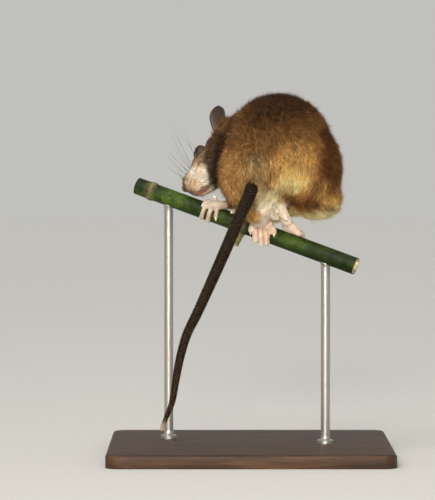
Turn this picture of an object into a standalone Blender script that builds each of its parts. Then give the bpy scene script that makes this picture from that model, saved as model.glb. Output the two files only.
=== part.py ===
"""Black-tailed melomys, life size, hunched on a short cut length of bamboo held by a display stand.

The animal is seen from behind when looking along +Y. +X is to the right, +Z is up, and the origin is the
middle of the base's underside. Lengths in this file are in millimetres and become metres at the end.
"""

import math

import bmesh
import bpy
from mathutils import Matrix, Vector
from mathutils.bvhtree import BVHTree

MM = 0.001
# Gap between two pieces that meet.
GAP = 0.3

# Triangles kept in the outer shape that cuts a piece's neighbour.
HULL_TRIANGLES = 200

# The stand: a flat base and two upright rods.
BASE_WIDTH = 124.0
BASE_DEPTH = 124.0
BASE_HEIGHT = 6.0
BASE_BEVEL = 1.5
ROD_RADIUS = 2.0
ROD_PLACES = (-36.0, 33.0)

# The perch: a bamboo stem that falls to the right and comes nearer as it does.
PERCH_MIDDLE = Vector((11.4, 0.0, 96.4))
PERCH_SLOPE = Vector((1.0, -0.35, -0.36))
PERCH_LEFT = -50.0
PERCH_RIGHT = 46.0
PERCH_RADIUS = 3.8
PERCH_NODES = (-43.5, -2.5)
PERCH_NODE_RISE = 0.5
PERCH_NODE_LENGTH = 1.3
STUB_RADIUS = 1.9
STUB_LENGTH = 6.0

# The head's frame: nose tip, the way the nose points, and the roll about that line.
NOSE_TIP = Vector((-30.6, 16.0, 116.6))
NOSE_WAY = Vector((-0.69, 0.06, -0.70)).normalized()
HEAD_ROLL = math.radians(46.0)
HEAD_LENGTH = 38.5
EYE_RADIUS = 2.6
EYE_PLACE = (-17.8, 5.3, 2.4)
# The lids: a low mound round the eye with an opening longer than it is high.
LID_MOUND = 3.6
LID_SINK = 0.7
LID_OPENING = (2.35, 2.0)
EAR_LENGTH = 12.8
EAR_WIDTH = 11.5
EAR_ROOT = (-31.5, 6.2, 3.2)
EAR_THICKNESS = 0.7
EAR_CUP = 3.2

# The tail.
TAIL_ROOT_RADIUS = 2.9
TAIL_TIP_RADIUS = 0.6
TAIL_LENGTHS = 4


def clear_scene() -> None:
    """Take every object out of the scene."""
    for thing in list(bpy.data.objects):
        bpy.data.objects.remove(thing, do_unlink=True)


def finish(name: str, colour: str, roughness: float, metallic: float = 0.0) -> bpy.types.Material:
    """Make a plain Principled material from an sRGB colour."""
    material = bpy.data.materials.new(name)
    material.use_nodes = True
    shader = material.node_tree.nodes["Principled BSDF"]
    parts = [int(colour[i : i + 2], 16) / 255 for i in (0, 2, 4)]
    linear = [c / 12.92 if c <= 0.04045 else ((c + 0.055) / 1.055) ** 2.4 for c in parts]
    shader.inputs["Base Color"].default_value = (*linear, 1.0)
    shader.inputs["Roughness"].default_value = roughness
    shader.inputs["Metallic"].default_value = metallic
    material.diffuse_color = (*linear, 1.0)
    return material


def add_ellipsoid(bm: bmesh.types.BMesh, centre, radii, turn: Matrix = None, across: int = 24) -> None:
    """Add an ellipsoid whose own axes are turned by a 4x4 matrix."""
    size = Matrix.Diagonal((*radii, 1.0))
    place = Matrix.Translation(Vector(centre)) @ (turn or Matrix.Identity(4)) @ size
    bmesh.ops.create_uvsphere(bm, u_segments=across, v_segments=across // 2, radius=1.0, matrix=place)


def smooth_path(points: list, steps: int) -> list:
    """Points along a smooth curve through the given (place, radius) pairs."""
    through = [(Vector(p), r) for p, r in points]
    ends = [through[0], *through, through[-1]]
    path = []
    for k in range(len(through) - 1):
        a, b, c, d = ends[k : k + 4]
        for i in range(steps):
            t = i / steps
            weights = (
                0.5 * (-t + 2 * t**2 - t**3),
                0.5 * (2 - 5 * t**2 + 3 * t**3),
                0.5 * (t + 4 * t**2 - 3 * t**3),
                0.5 * (-(t**2) + t**3),
            )
            spot = sum((w * q[0] for w, q in zip(weights, (a, b, c, d))), Vector())
            path.append((spot, b[1] + (c[1] - b[1]) * t))
    path.append(through[-1])
    return path


def add_tube(
    bm: bmesh.types.BMesh,
    path: list,
    sides: int = 12,
    flat: float = 1.0,
    round_ends: bool = True,
) -> None:
    """Add a closed tube along (place, radius) pairs; flat squashes it top to bottom."""
    path = [(Vector(p), r) for p, r in path]
    tangents = []
    for k in range(len(path)):
        before = path[max(k - 1, 0)][0]
        after = path[min(k + 1, len(path) - 1)][0]
        tangents.append((after - before).normalized())
    stations = [(p, r, t) for (p, r), t in zip(path, tangents)]
    if round_ends:
        first, last = stations[0], stations[-1]
        for turn in (0.5, 0.85):
            away, shrink = math.sin(turn * math.pi / 2), math.cos(turn * math.pi / 2)
            stations.insert(0, (first[0] - first[2] * first[1] * away, first[1] * shrink, first[2]))
            stations.append((last[0] + last[2] * last[1] * away, last[1] * shrink, last[2]))
    side = None
    rings = []
    for place, radius, tangent in stations:
        if side is None:
            side = Vector((0, 0, 1)).cross(tangent)
            if side.length < 0.2:
                side = Vector((1, 0, 0)).cross(tangent)
        side = (side - tangent * side.dot(tangent)).normalized()
        high = tangent.cross(side)
        ring = []
        for k in range(sides):
            angle = 2 * math.pi * k / sides
            out = side * math.cos(angle) + high * (math.sin(angle) * flat)
            ring.append(bm.verts.new(place + out * radius))
        rings.append(ring)
    for low, top in zip(rings, rings[1:]):
        for k in range(sides):
            n = (k + 1) % sides
            bm.faces.new((low[k], low[n], top[n], top[k]))
    bm.faces.new(reversed(rings[0]))
    bm.faces.new(rings[-1])


def as_mesh(bm: bmesh.types.BMesh) -> bpy.types.Mesh:
    """Turn a bmesh into a mesh of triangles and free it."""
    bmesh.ops.recalc_face_normals(bm, faces=bm.faces)
    bmesh.ops.triangulate(bm, faces=bm.faces)
    mesh = bpy.data.meshes.new("form")
    bm.to_mesh(mesh)
    bm.free()
    return mesh


def evaluated(mesh: bpy.types.Mesh, settle) -> bpy.types.Mesh:
    """Run modifiers on a mesh: settle(object) adds them, and the result is a new mesh."""
    worker = bpy.data.objects.new("worker", mesh)
    bpy.context.scene.collection.objects.link(worker)
    settle(worker)
    graph = bpy.context.evaluated_depsgraph_get()
    graph.update()
    result = bpy.data.meshes.new_from_object(worker.evaluated_get(graph))
    bpy.data.objects.remove(worker, do_unlink=True)
    return result


def fused(bm: bmesh.types.BMesh, voxel: float, rounds: int, triangles: int) -> bpy.types.Mesh:
    """Fuse overlapping closed forms into one skin, relax it and keep about so many triangles."""

    def settle(worker: bpy.types.Object) -> None:
        remesh = worker.modifiers.new("fuse", "REMESH")
        remesh.mode = "VOXEL"
        remesh.voxel_size = voxel
        relax = worker.modifiers.new("relax", "SMOOTH")
        relax.factor = 0.5
        relax.iterations = rounds

    skin = evaluated(as_mesh(bm), settle)
    count = sum(len(p.vertices) - 2 for p in skin.polygons)

    def thin_out(worker: bpy.types.Object) -> None:
        sparse = worker.modifiers.new("thin out", "DECIMATE")
        sparse.ratio = min(1.0, triangles / count)
        sparse.use_collapse_triangulate = True

    return largest(evaluated(skin, thin_out))


def is_closed(bm: bmesh.types.BMesh) -> bool:
    """Whether every edge joins just two faces."""
    return all(len(edge.link_faces) == 2 for edge in bm.edges)


def largest(mesh: bpy.types.Mesh) -> bpy.types.Mesh:
    """Keep a mesh's largest closed surface, without needles or specks, as triangles."""
    for merge in (0.03, 0.01, 0.002, 0.0):
        bm = bmesh.new()
        bm.from_mesh(mesh)
        if merge:
            bmesh.ops.remove_doubles(bm, verts=bm.verts, dist=merge)
            bmesh.ops.dissolve_degenerate(bm, edges=bm.edges, dist=merge)
        bmesh.ops.triangulate(bm, faces=bm.faces)
        keep_largest_shell(bm)
        if is_closed(bm):
            break
    result = bpy.data.meshes.new("form")
    bm.to_mesh(result)
    bm.free()
    return result


def keep_largest_shell(bm: bmesh.types.BMesh) -> None:
    """Delete every connected surface but the one with the most corners."""
    seen = set()
    shells = []
    for start in bm.verts:
        if start in seen:
            continue
        seen.add(start)
        shell = [start]
        for vert in shell:
            for edge in vert.link_edges:
                other = edge.other_vert(vert)
                if other not in seen:
                    seen.add(other)
                    shell.append(other)
        shells.append(shell)
    shells.sort(key=len)
    spare = [vert for shell in shells[:-1] for vert in shell]
    bmesh.ops.delete(bm, geom=spare, context="VERTS")


def combined(mesh: bpy.types.Mesh, tool: bpy.types.Mesh, operation: str) -> bpy.types.Mesh:
    """DIFFERENCE or INTERSECT of a mesh with a tool mesh."""
    holder = bpy.data.objects.new("tool", tool)
    bpy.context.scene.collection.objects.link(holder)

    def settle(worker: bpy.types.Object) -> None:
        cut = worker.modifiers.new("cut", "BOOLEAN")
        cut.operation = operation
        cut.solver = "EXACT"
        cut.object = holder

    result = evaluated(mesh, settle)
    bpy.data.objects.remove(holder, do_unlink=True)
    return largest(result)


def swollen(mesh: bpy.types.Mesh, distance: float) -> bpy.types.Mesh:
    """The convex outer shape of a mesh, moved outwards all round by a distance."""
    bm = bmesh.new()
    bm.from_mesh(mesh)
    found = bmesh.ops.convex_hull(bm, input=bm.verts)
    inside = (*found["geom_interior"], *found["geom_unused"])
    spare = [g for g in set(inside) if isinstance(g, bmesh.types.BMVert)]
    bmesh.ops.delete(bm, geom=spare, context="VERTS")
    hull_faces = {f for f in bm.faces}
    kept = {g for g in found["geom"] if isinstance(g, bmesh.types.BMFace) and g.is_valid}
    bmesh.ops.delete(bm, geom=list(hull_faces - kept), context="FACES_ONLY")
    bmesh.ops.delete(bm, geom=[e for e in bm.edges if not e.link_faces], context="EDGES")
    bmesh.ops.delete(bm, geom=[v for v in bm.verts if not v.link_faces], context="VERTS")
    bmesh.ops.recalc_face_normals(bm, faces=bm.faces)
    bm.normal_update()
    moves = [(v, v.co + v.normal * distance) for v in bm.verts]
    for vert, place in moves:
        vert.co = place
    hull = as_mesh(bm)
    count = len(hull.polygons)

    def thin_out(worker: bpy.types.Object) -> None:
        sparse = worker.modifiers.new("thin out", "DECIMATE")
        sparse.ratio = min(1.0, HULL_TRIANGLES / count)
        sparse.use_collapse_triangulate = True

    return evaluated(hull, thin_out)


def region(centre, radii, turn: Matrix = None) -> tuple:
    """An ellipsoid that parts a body, as (the ellipsoid, the same one larger by the gap)."""
    meshes = []
    for more in (0.0, GAP):
        bm = bmesh.new()
        add_ellipsoid(bm, centre, [r + more for r in radii], turn, across=16)
        meshes.append(as_mesh(bm))
    return tuple(meshes)


def half_space(point, normal, side: float) -> bpy.types.Mesh:
    """A large box that fills the far side (1) or the near side (-1) of a plane, half a gap off it."""
    reach = 200.0
    normal = Vector(normal).normalized()
    turn = normal.to_track_quat("Z", "Y").to_matrix().to_4x4()
    middle = Vector(point) + normal * (side * (reach / 2 + GAP / 2))
    bm = bmesh.new()
    bmesh.ops.create_cube(bm, size=reach, matrix=Matrix.Translation(middle) @ turn)
    return as_mesh(bm)


def carved(mesh: bpy.types.Mesh, zone: tuple) -> tuple:
    """Part a mesh into (the piece inside a zone, the rest)."""
    return combined(mesh, zone[0], "INTERSECT"), combined(mesh, zone[1], "DIFFERENCE")


def perch_place(x: float) -> Vector:
    """The middle of the stem at a given X."""
    return PERCH_MIDDLE + PERCH_SLOPE * (x - PERCH_MIDDLE.x)


def perch_ring(x: float, angle: float, radius: float) -> Vector:
    """A place round the stem: angle 0 is on top, 90 degrees is on the near side."""
    along = PERCH_SLOPE.normalized()
    top = (Vector((0, 0, 1)) - along * along.z).normalized()
    near = along.cross(top)
    if near.y > 0:
        near = -near
    turn = math.radians(angle)
    return perch_place(x) + (top * math.cos(turn) + near * math.sin(turn)) * radius


def head_frame() -> Matrix:
    """The head's frame: x to the nose, y to the animal's left, z up from the skull, origin at the nose tip."""
    behind = Vector((0, -1, 0))
    level = (behind - NOSE_WAY * behind.dot(NOSE_WAY)).normalized()
    across = NOSE_WAY.cross(level)
    left = level * math.cos(HEAD_ROLL) + across * math.sin(HEAD_ROLL)
    up = across * math.cos(HEAD_ROLL) - level * math.sin(HEAD_ROLL)
    turn = Matrix((NOSE_WAY, left, up)).transposed().to_4x4()
    return Matrix.Translation(NOSE_TIP) @ turn


def perch_mesh() -> bpy.types.Mesh:
    """The stem with its two node ridges and the stub of a side shoot under one of them."""
    stations = set()
    steps = 8
    for k in range(steps + 1):
        stations.add(PERCH_LEFT + (PERCH_RIGHT - PERCH_LEFT) * k / steps)
    for node in PERCH_NODES:
        for shift in (-1.6, -0.6, 0.6, 1.6):
            stations.add(node + shift * PERCH_NODE_LENGTH)
    bm = bmesh.new()
    culm = [(perch_place(x), stem_radius(x)) for x in sorted(stations)]
    add_tube(bm, culm, sides=16, round_ends=False)
    stem = as_mesh(bm)
    bm = bmesh.new()
    node = PERCH_NODES[1]
    root, tip = perch_ring(node, 178.0, 1.0), perch_ring(node - 0.8, 172.0, PERCH_RADIUS + STUB_LENGTH)
    add_tube(bm, [(root, STUB_RADIUS), (tip, STUB_RADIUS * 0.8)], sides=10, round_ends=False)
    return combined(stem, as_mesh(bm), "UNION")


def stem_radius(x: float) -> float:
    """The stem's radius at a given X: it swells at its nodes."""
    swell = sum(math.exp(-(((x - node) / PERCH_NODE_LENGTH) ** 2)) for node in PERCH_NODES)
    return PERCH_RADIUS + PERCH_NODE_RISE * swell


def perch_clearance() -> bpy.types.Mesh:
    """The room that the stem takes, with the gap round it."""
    node = PERCH_NODES[1]
    stations = [PERCH_LEFT - 5, node - 2.6, node - 0.9, node + 0.9, node + 2.6, PERCH_RIGHT + 5]
    bm = bmesh.new()
    room = [(perch_place(x), stem_radius(x) + GAP * 1.15) for x in stations]
    add_tube(bm, room, sides=16, round_ends=False)
    return as_mesh(bm)


def torso_mesh() -> bpy.types.Mesh:
    """Trunk, haunches, belly, shoulders, neck and the upper parts of the forelegs, as one skin."""
    bm = bmesh.new()
    # The back, arched over: the top of the ball.
    add_ellipsoid(bm, (12.5, 4.0, 135.0), (24.3, 25.0, 24.7), across=32)
    # The rump around the tail's root, and the groin hanging before the stem.
    add_ellipsoid(bm, (5.0, -10.0, 124.0), (16.5, 15.5, 16.0))
    add_ellipsoid(bm, (5.0, -6.5, 109.4), (10.5, 9.0, 8.2))
    # The two haunches, which stand proud of the back.
    add_ellipsoid(bm, (-1.6, -6.0, 124.0), (12.8, 16.5, 17.5))
    add_ellipsoid(bm, (20.5, -8.5, 128.0), (14.6, 18.0, 17.5))
    # Flank and belly, beyond the right thigh.
    add_ellipsoid(bm, (25.0, 3.0, 126.0), (16.0, 20.0, 21.5))
    add_ellipsoid(bm, (28.6, 3.5, 114.6), (12.2, 15.0, 10.3))
    add_ellipsoid(bm, (12.0, 8.0, 116.0), (18.0, 16.0, 13.0))
    # Shoulders and chest on the far side.
    add_ellipsoid(bm, (6.0, 18.0, 128.0), (17.0, 15.5, 20.0))
    add_ellipsoid(bm, (1.0, 17.0, 116.0), (13.0, 12.0, 10.0))
    # The neck, bent down to the left.
    neck = [((8, 16, 138), 15.0), ((0, 12.5, 141), 12.5), ((-8, 11, 141), 8.8)]
    add_tube(bm, smooth_path(neck, 6), sides=20)
    # Forelegs: elbow to wrist.
    left = [((2, 14, 113), 5.0), ((-5, 10.5, 110.6), 3.6), ((-11.5, 7.0, 110.5), 2.3)]
    right = [((6, 22, 112), 5.2), ((3, 19, 107.6), 3.6), ((-0.5, 14.5, 105.6), 2.3)]
    add_tube(bm, smooth_path(left, 5))
    add_tube(bm, smooth_path(right, 5))
    return fused(bm, voxel=0.9, rounds=6, triangles=2600)


def head_forms(bm: bmesh.types.BMesh) -> None:
    """Skull, muzzle, whisker pads, cheeks, lower jaw and lids in the head's own frame."""
    add_ellipsoid(bm, (-27.5, 0, -1.6), (12.5, 8.8, 8.6))
    add_ellipsoid(bm, (-18.5, 0, -2.0), (11.5, 7.8, 7.7))
    add_ellipsoid(bm, (-10.2, 0, -2.9), (8.8, 5.6, 5.3))
    add_ellipsoid(bm, (-2.7, 0, -1.3), (2.6, 2.5, 2.2), across=16)
    # Lower jaw, chin and throat.
    add_ellipsoid(bm, (-11.0, 0, -7.4), (7.8, 4.9, 3.4), across=16)
    add_ellipsoid(bm, (-6.6, 0, -8.0), (3.2, 3.0, 2.3), across=12)
    add_ellipsoid(bm, (-20.0, 0, -6.9), (10.0, 7.4, 5.8), across=16)
    for side in (-1, 1):
        add_ellipsoid(bm, (-7.4, side * 3.0, -3.5), (5.4, 3.6, 4.0), across=16)
        add_ellipsoid(bm, (-13.0, side * 4.2, -4.9), (6.6, 4.0, 4.8), across=16)
        add_ellipsoid(bm, (-18.5, side * 4.6, -5.0), (8.4, 4.6, 6.0), across=16)
        add_ellipsoid(bm, (-1.6, side * 1.05, -1.1), (1.2, 1.0, 1.2), across=12)
        add_ellipsoid(bm, eye_place(side) - eye_way(side) * LID_SINK, [LID_MOUND] * 3, across=20)


def eye_place(side: int) -> Vector:
    """The middle of an eye in the head's own frame."""
    return Vector((EYE_PLACE[0], side * EYE_PLACE[1], EYE_PLACE[2]))


def eye_way(side: int) -> Vector:
    """The way an eye looks in the head's own frame."""
    return Vector((0.28, side * 0.87, 0.40)).normalized()


def surface_tree(mesh: bpy.types.Mesh) -> BVHTree:
    """A search tree over a mesh's faces."""
    places = [v.co for v in mesh.vertices]
    return BVHTree.FromPolygons(places, [tuple(p.vertices) for p in mesh.polygons])


def surface_path(tree: BVHTree, places: list, lift: float) -> list:
    """Drop places in towards the head's middle line onto its skin and lift them off it."""
    path = []
    for place, aim in places:
        start = Vector(place)
        way = (Vector(aim) - start).normalized()
        hit = tree.ray_cast(start, way)
        path.append(hit[0] - way * lift)
    return path


def mouth_places() -> list:
    """Places outside the head along the mouth line, from one corner round the front to the other."""
    places = []
    reach = 8
    for k in range(-reach, reach + 1):
        turn = k / reach
        back = -10.0 * abs(turn) ** 1.3 - 2.6
        low = -6.0 - 0.3 * math.sin(math.pi * abs(turn)) + 0.5 * abs(turn) ** 3
        wide = 9.5 * math.sin(turn * math.pi / 2)
        ahead = 6.0 * (1 - abs(turn))
        places.append(((back + ahead, wide, low - 0.6), (back - 3.0, 0.0, low)))
    return places


def head_mesh() -> bpy.types.Mesh:
    """The head with lids, mouth line, lips and nostrils, in place, open at the back onto the neck."""
    bm = bmesh.new()
    head_forms(bm)
    bare = fused(bm, voxel=0.6, rounds=3, triangles=9000)
    tree = surface_tree(bare)
    bm = bmesh.new()
    head_forms(bm)
    # The lips: a soft rim under the mouth line.
    lip = surface_path(tree, mouth_places(), -0.1)
    below = Vector((0, 0, -0.85))
    add_tube(bm, [(p + below, 0.75) for p in lip], sides=8)
    skin = fused(bm, voxel=0.42, rounds=3, triangles=20000)
    tree = surface_tree(skin)
    # The mouth line, cut as a narrow groove.
    groove = surface_path(tree, mouth_places(), 0.05)
    bm = bmesh.new()
    add_tube(bm, [(p, 0.42) for p in groove], sides=6)
    skin = combined(skin, as_mesh(bm), "DIFFERENCE")
    # The split from the nose down to the mouth, and the nostrils.
    bm = bmesh.new()
    split = [(0.4, 0, -2.0), (-0.2, 0, -3.4), (-1.2, 0, -4.8), (-2.2, 0, -6.0)]
    drops = [(Vector(p) + Vector((4, 0, -1.5)), Vector(p) + Vector((-4, 0, 1.5))) for p in split]
    add_tube(bm, [(p, 0.38) for p in surface_path(tree, drops, 0.0)], sides=6)
    skin = combined(skin, as_mesh(bm), "DIFFERENCE")
    for side in (-1, 1):
        aim = Matrix.Rotation(math.radians(35 * side), 4, "Z")
        bm = bmesh.new()
        add_ellipsoid(bm, (-0.75, side * 1.75, -1.0), (1.1, 0.5, 0.62), aim, across=10)
        skin = combined(skin, as_mesh(bm), "DIFFERENCE")
        bm = bmesh.new()
        add_ellipsoid(bm, eye_place(side), [EYE_RADIUS + GAP] * 3, across=20)
        skin = combined(skin, as_mesh(bm), "DIFFERENCE")
        turn = eye_way(side).to_track_quat("Z", "X").to_matrix().to_4x4()
        size = Matrix.Diagonal((LID_OPENING[1], LID_OPENING[0], 1.0, 1.0))
        place = Matrix.Translation(eye_place(side) + eye_way(side) * 3.0) @ turn @ size
        bm = bmesh.new()
        bmesh.ops.create_cone(
            bm, cap_ends=True, segments=20, radius1=1.0, radius2=1.0, depth=6.0, matrix=place
        )
        skin = combined(skin, as_mesh(bm), "DIFFERENCE")
    count = len(skin.polygons)

    def thin_out(worker: bpy.types.Object) -> None:
        sparse = worker.modifiers.new("thin out", "DECIMATE")
        sparse.ratio = min(1.0, 2700 / count)
        sparse.use_collapse_triangulate = True

    skin = largest(evaluated(skin, thin_out))
    skin.transform(head_frame())
    back = head_frame() @ Vector((-HEAD_LENGTH, 0, 0))
    return combined(skin, half_space(back, NOSE_WAY, 1.0), "INTERSECT")


def eye_mesh(side: int) -> bpy.types.Mesh:
    """An eyeball in its socket."""
    bm = bmesh.new()
    centre = head_frame() @ eye_place(side)
    add_ellipsoid(bm, centre, [EYE_RADIUS] * 3, across=16)
    return as_mesh(bm)


def ear_mesh(side: int, skull: bpy.types.Mesh) -> bpy.types.Mesh:
    """A rounded cup-shaped ear that stands up and back from its root, its hollow facing forwards."""
    frame = head_frame()
    root = Vector((EAR_ROOT[0], side * EAR_ROOT[1], EAR_ROOT[2]))
    up = Vector((-0.52, side * 0.16, 0.80)).normalized()
    front = Vector((0.80, side * -0.08, 0.56))
    front = (front - up * front.dot(up)).normalized()
    wide = up.cross(front)
    rows, columns = 9, 8
    bm = bmesh.new()
    sheets = []
    for layer in (0.0, EAR_THICKNESS):
        grid = []
        for i in range(rows + 1):
            t = i / rows
            half = EAR_WIDTH / 2 * (0.42 + 0.58 * math.sin(math.pi * min(t * 1.15, 1.0) / 2 + 0.25))
            half *= math.sqrt(max(1.0 - max(0.0, (t - 0.45) / 0.565) ** 2.4, 0.02))
            line = []
            for j in range(columns + 1):
                s = 2 * j / columns - 1
                bend = EAR_CUP * (s * half / (EAR_WIDTH / 2)) ** 2 * (1.25 - 0.75 * t)
                lean = -1.8 * math.sin(math.pi * t / 2)
                place = root + up * (EAR_LENGTH * t - 2.0) + wide * (s * half * 0.96)
                place += front * (bend + lean - layer)
                line.append(bm.verts.new(frame @ place))
            grid.append(line)
        sheets.append(grid)
    inner, outer = sheets
    for i in range(rows):
        for j in range(columns):
            bm.faces.new((inner[i][j], inner[i][j + 1], inner[i + 1][j + 1], inner[i + 1][j]))
            bm.faces.new((outer[i][j], outer[i + 1][j], outer[i + 1][j + 1], outer[i][j + 1]))
        bm.faces.new((inner[i][0], inner[i + 1][0], outer[i + 1][0], outer[i][0]))
        bm.faces.new((inner[i][-1], outer[i][-1], outer[i + 1][-1], inner[i + 1][-1]))
    for j in range(columns):
        bm.faces.new((inner[0][j], outer[0][j], outer[0][j + 1], inner[0][j + 1]))
        bm.faces.new((inner[-1][j], inner[-1][j + 1], outer[-1][j + 1], outer[-1][j]))
    return combined(as_mesh(bm), swollen(skull, GAP), "DIFFERENCE")


def digit(bm: bmesh.types.BMesh, knuckle: Vector, places: list, radius: float) -> None:
    """A toe or finger with a bulb at its end and a short claw."""
    path = [(knuckle, radius * 1.15), *[(p, radius) for p in places[:-1]]]
    tip = Vector(places[-2])
    add_tube(bm, smooth_path(path, 4), sides=10)
    add_ellipsoid(bm, tip, [radius * 1.16] * 3, across=12)
    add_tube(bm, smooth_path([(tip, radius * 0.6), (places[-1], 0.34)], 4), sides=8)


def over_stem(x: float, turns: list, clear: float, drift: float) -> list:
    """Places of a digit that bends round the stem, from turn to turn in degrees."""
    return [perch_ring(x + drift * k, turn, PERCH_RADIUS + clear) for k, turn in enumerate(turns)]


def left_hind_foot() -> bpy.types.Mesh:
    """Heel and sole towards the rump, toes bent down over the near side of the stem."""
    bm = bmesh.new()
    ball = Vector((5.4, -5.8, 103.0))
    sole = [((6.2, -14.6, 108.4), 2.8), ((6.0, -9.8, 105.6), 2.6), (ball, 2.7)]
    add_tube(bm, smooth_path(sole, 5), flat=0.85)
    add_ellipsoid(bm, (3.4, -5.2, 102.7), (1.6, 1.6, 1.7), across=14)
    add_ellipsoid(bm, (7.4, -5.4, 101.8), (1.8, 1.7, 1.8), across=14)
    digit(bm, Vector((2.9, -4.6, 102.3)), over_stem(2.2, [64, 92, 114], 1.5, 0.1), 1.15)
    digit(bm, Vector((4.4, -5.0, 101.9)), over_stem(4.3, [72, 106, 140, 160], 1.5, 0.15), 1.15)
    digit(bm, Vector((6.2, -5.2, 101.5)), over_stem(6.5, [74, 110, 146, 166], 1.5, 0.4), 1.25)
    digit(bm, Vector((7.8, -5.3, 101.1)), over_stem(8.8, [70, 100, 128, 146], 1.5, 0.45), 1.2)
    digit(bm, Vector((8.6, -4.8, 101.1)), over_stem(10.8, [52, 68, 82], 1.45, 0.6), 1.0)
    return fused(bm, voxel=0.34, rounds=1, triangles=900)


def right_hind_foot() -> bpy.types.Mesh:
    """Heel up in the groin, sole to the right, toes over the top and down the far side of the stem."""
    bm = bmesh.new()
    sole = [((12.2, -12.5, 112.6), 1.9), ((14.0, -10.0, 108.4), 2.1), ((16.0, -7.2, 103.4), 2.4)]
    add_tube(bm, smooth_path(sole, 5), flat=0.8)
    for k, x in enumerate((14.6, 16.4, 18.2, 20.0)):
        turns = [18, -14, -48, -78, -98]
        digit(bm, Vector((15.2 + k * 1.0, -6.4, 103.2 - 0.5 * k)), over_stem(x, turns, 1.6, 0.35), 1.2)
    first_toe = [Vector((15.0, -10.9, 105.8)), Vector((15.7, -11.0, 104.7)), Vector((16.4, -10.9, 103.6))]
    digit(bm, Vector((14.2, -10.4, 107.0)), first_toe, 0.9)
    return fused(bm, voxel=0.4, rounds=2, triangles=800)


def left_hand() -> bpy.types.Mesh:
    """Wrist at the right, palm on the stem, fingers hanging down its near side."""
    bm = bmesh.new()
    palm = [((-10.8, 6.6, 110.3), 2.1), ((-13.2, 5.6, 110.2), 2.1), ((-15.8, 5.4, 110.1), 2.2)]
    add_tube(bm, smooth_path(palm, 5), flat=0.85)
    digit(bm, Vector((-17.4, 5.2, 109.9)), over_stem(-18.8, [62, 92, 120, 138], 1.3, -0.15), 0.92)
    digit(bm, Vector((-16.0, 5.0, 109.5)), over_stem(-16.3, [68, 98, 126, 144], 1.3, 0.0), 0.92)
    digit(bm, Vector((-14.4, 4.9, 109.2)), over_stem(-13.7, [70, 92, 108], 1.25, 0.35), 0.82)
    digit(bm, Vector((-17.2, 6.6, 110.8)), over_stem(-19.2, [16, 36, 52, 64], 1.3, -0.35), 0.88)
    thumb = [Vector((-14.9, 6.8, 112.2)), Vector((-15.2, 6.8, 113.0)), Vector((-15.8, 6.6, 113.8))]
    digit(bm, Vector((-14.6, 6.6, 111.2)), thumb, 0.8)
    return fused(bm, voxel=0.3, rounds=1, triangles=800)


def right_hand() -> bpy.types.Mesh:
    """Hidden behind the stem: palm on its far side, fingers over the top."""
    bm = bmesh.new()
    palm = [((-0.3, 14.8, 105.7), 2.1), ((-2.4, 12.2, 106.1), 2.2), ((-4.2, 10.8, 106.6), 2.3)]
    add_tube(bm, smooth_path(palm, 5), flat=0.85)
    for k, x in enumerate((-7.6, -5.9, -4.2, -2.6)):
        knuckle = perch_ring(x + 0.6, -48, PERCH_RADIUS + 2.3)
        digit(bm, knuckle, over_stem(x, [-24, 4, 30, 48], 1.45, -0.15), 0.98)
    return fused(bm, voxel=0.34, rounds=2, triangles=600)


def tail_path() -> list:
    """The tail's middle line, from inside the rump to its tip."""
    points = [
        (0.8, -20.0, 120.0),
        (-0.6, -25.6, 115.2),
        (-4.6, -30.0, 106.4),
        (-9.2, -33.4, 95.6),
        (-13.8, -36.2, 85.2),
        (-18.4, -38.8, 75.0),
        (-23.0, -41.2, 65.0),
        (-27.4, -43.4, 56.0),
        (-30.2, -45.6, 46.4),
        (-32.2, -47.6, 36.0),
        (-33.6, -49.2, 27.6),
        (-36.2, -50.6, 20.8),
        (-38.4, -51.4, 15.4),
    ]
    count = len(points) - 1
    pairs = []
    for k, point in enumerate(points):
        t = k / count
        radius = TAIL_ROOT_RADIUS + (TAIL_TIP_RADIUS - TAIL_ROOT_RADIUS) * (0.62 * t + 0.38 * t**4)
        pairs.append((point, radius))
    return smooth_path(pairs, 2)


def tail_pieces() -> list:
    """The tail in its lengths, end to end."""
    path = tail_path()
    per = len(path) // TAIL_LENGTHS
    pieces = []
    for k in range(TAIL_LENGTHS):
        stop = len(path) if k == TAIL_LENGTHS - 1 else (k + 1) * per + 1
        stretch = path[k * per : stop]
        if k:
            way = (stretch[1][0] - stretch[0][0]).normalized()
            stretch[0] = (stretch[0][0] + way * GAP, stretch[0][1])
        bm = bmesh.new()
        add_tube(bm, stretch, sides=12, round_ends=False)
        pieces.append(as_mesh(bm))
    return pieces


def stand_base() -> bpy.types.Mesh:
    """A flat plate with softened edges."""
    bm = bmesh.new()
    size = Matrix.Diagonal((BASE_WIDTH, BASE_DEPTH, BASE_HEIGHT, 1.0))
    bmesh.ops.create_cube(bm, size=1.0, matrix=Matrix.Translation((0, 0, BASE_HEIGHT / 2)) @ size)
    upright = [e for e in bm.edges if abs(e.verts[0].co.z - e.verts[1].co.z) > 1]
    bmesh.ops.bevel(bm, geom=upright, offset=6.0, segments=5, affect="EDGES", profile=0.5)
    rim = [e for e in bm.edges if min(e.verts[0].co.z, e.verts[1].co.z) > BASE_HEIGHT - 0.01]
    bmesh.ops.bevel(bm, geom=rim, offset=BASE_BEVEL, segments=2, affect="EDGES", profile=0.5)
    return as_mesh(bm)


def stand_rod(x: float) -> bpy.types.Mesh:
    """An upright rod from the base to the underside of the stem."""
    middle = perch_place(x)
    low = BASE_HEIGHT + GAP
    high = middle.z + 1.0
    bm = bmesh.new()
    place = Matrix.Translation((middle.x, middle.y, (low + high) / 2))
    bmesh.ops.create_cone(
        bm,
        cap_ends=True,
        segments=20,
        radius1=ROD_RADIUS,
        radius2=ROD_RADIUS,
        depth=high - low,
        matrix=place,
    )
    return combined(as_mesh(bm), perch_clearance(), "DIFFERENCE")


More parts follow.
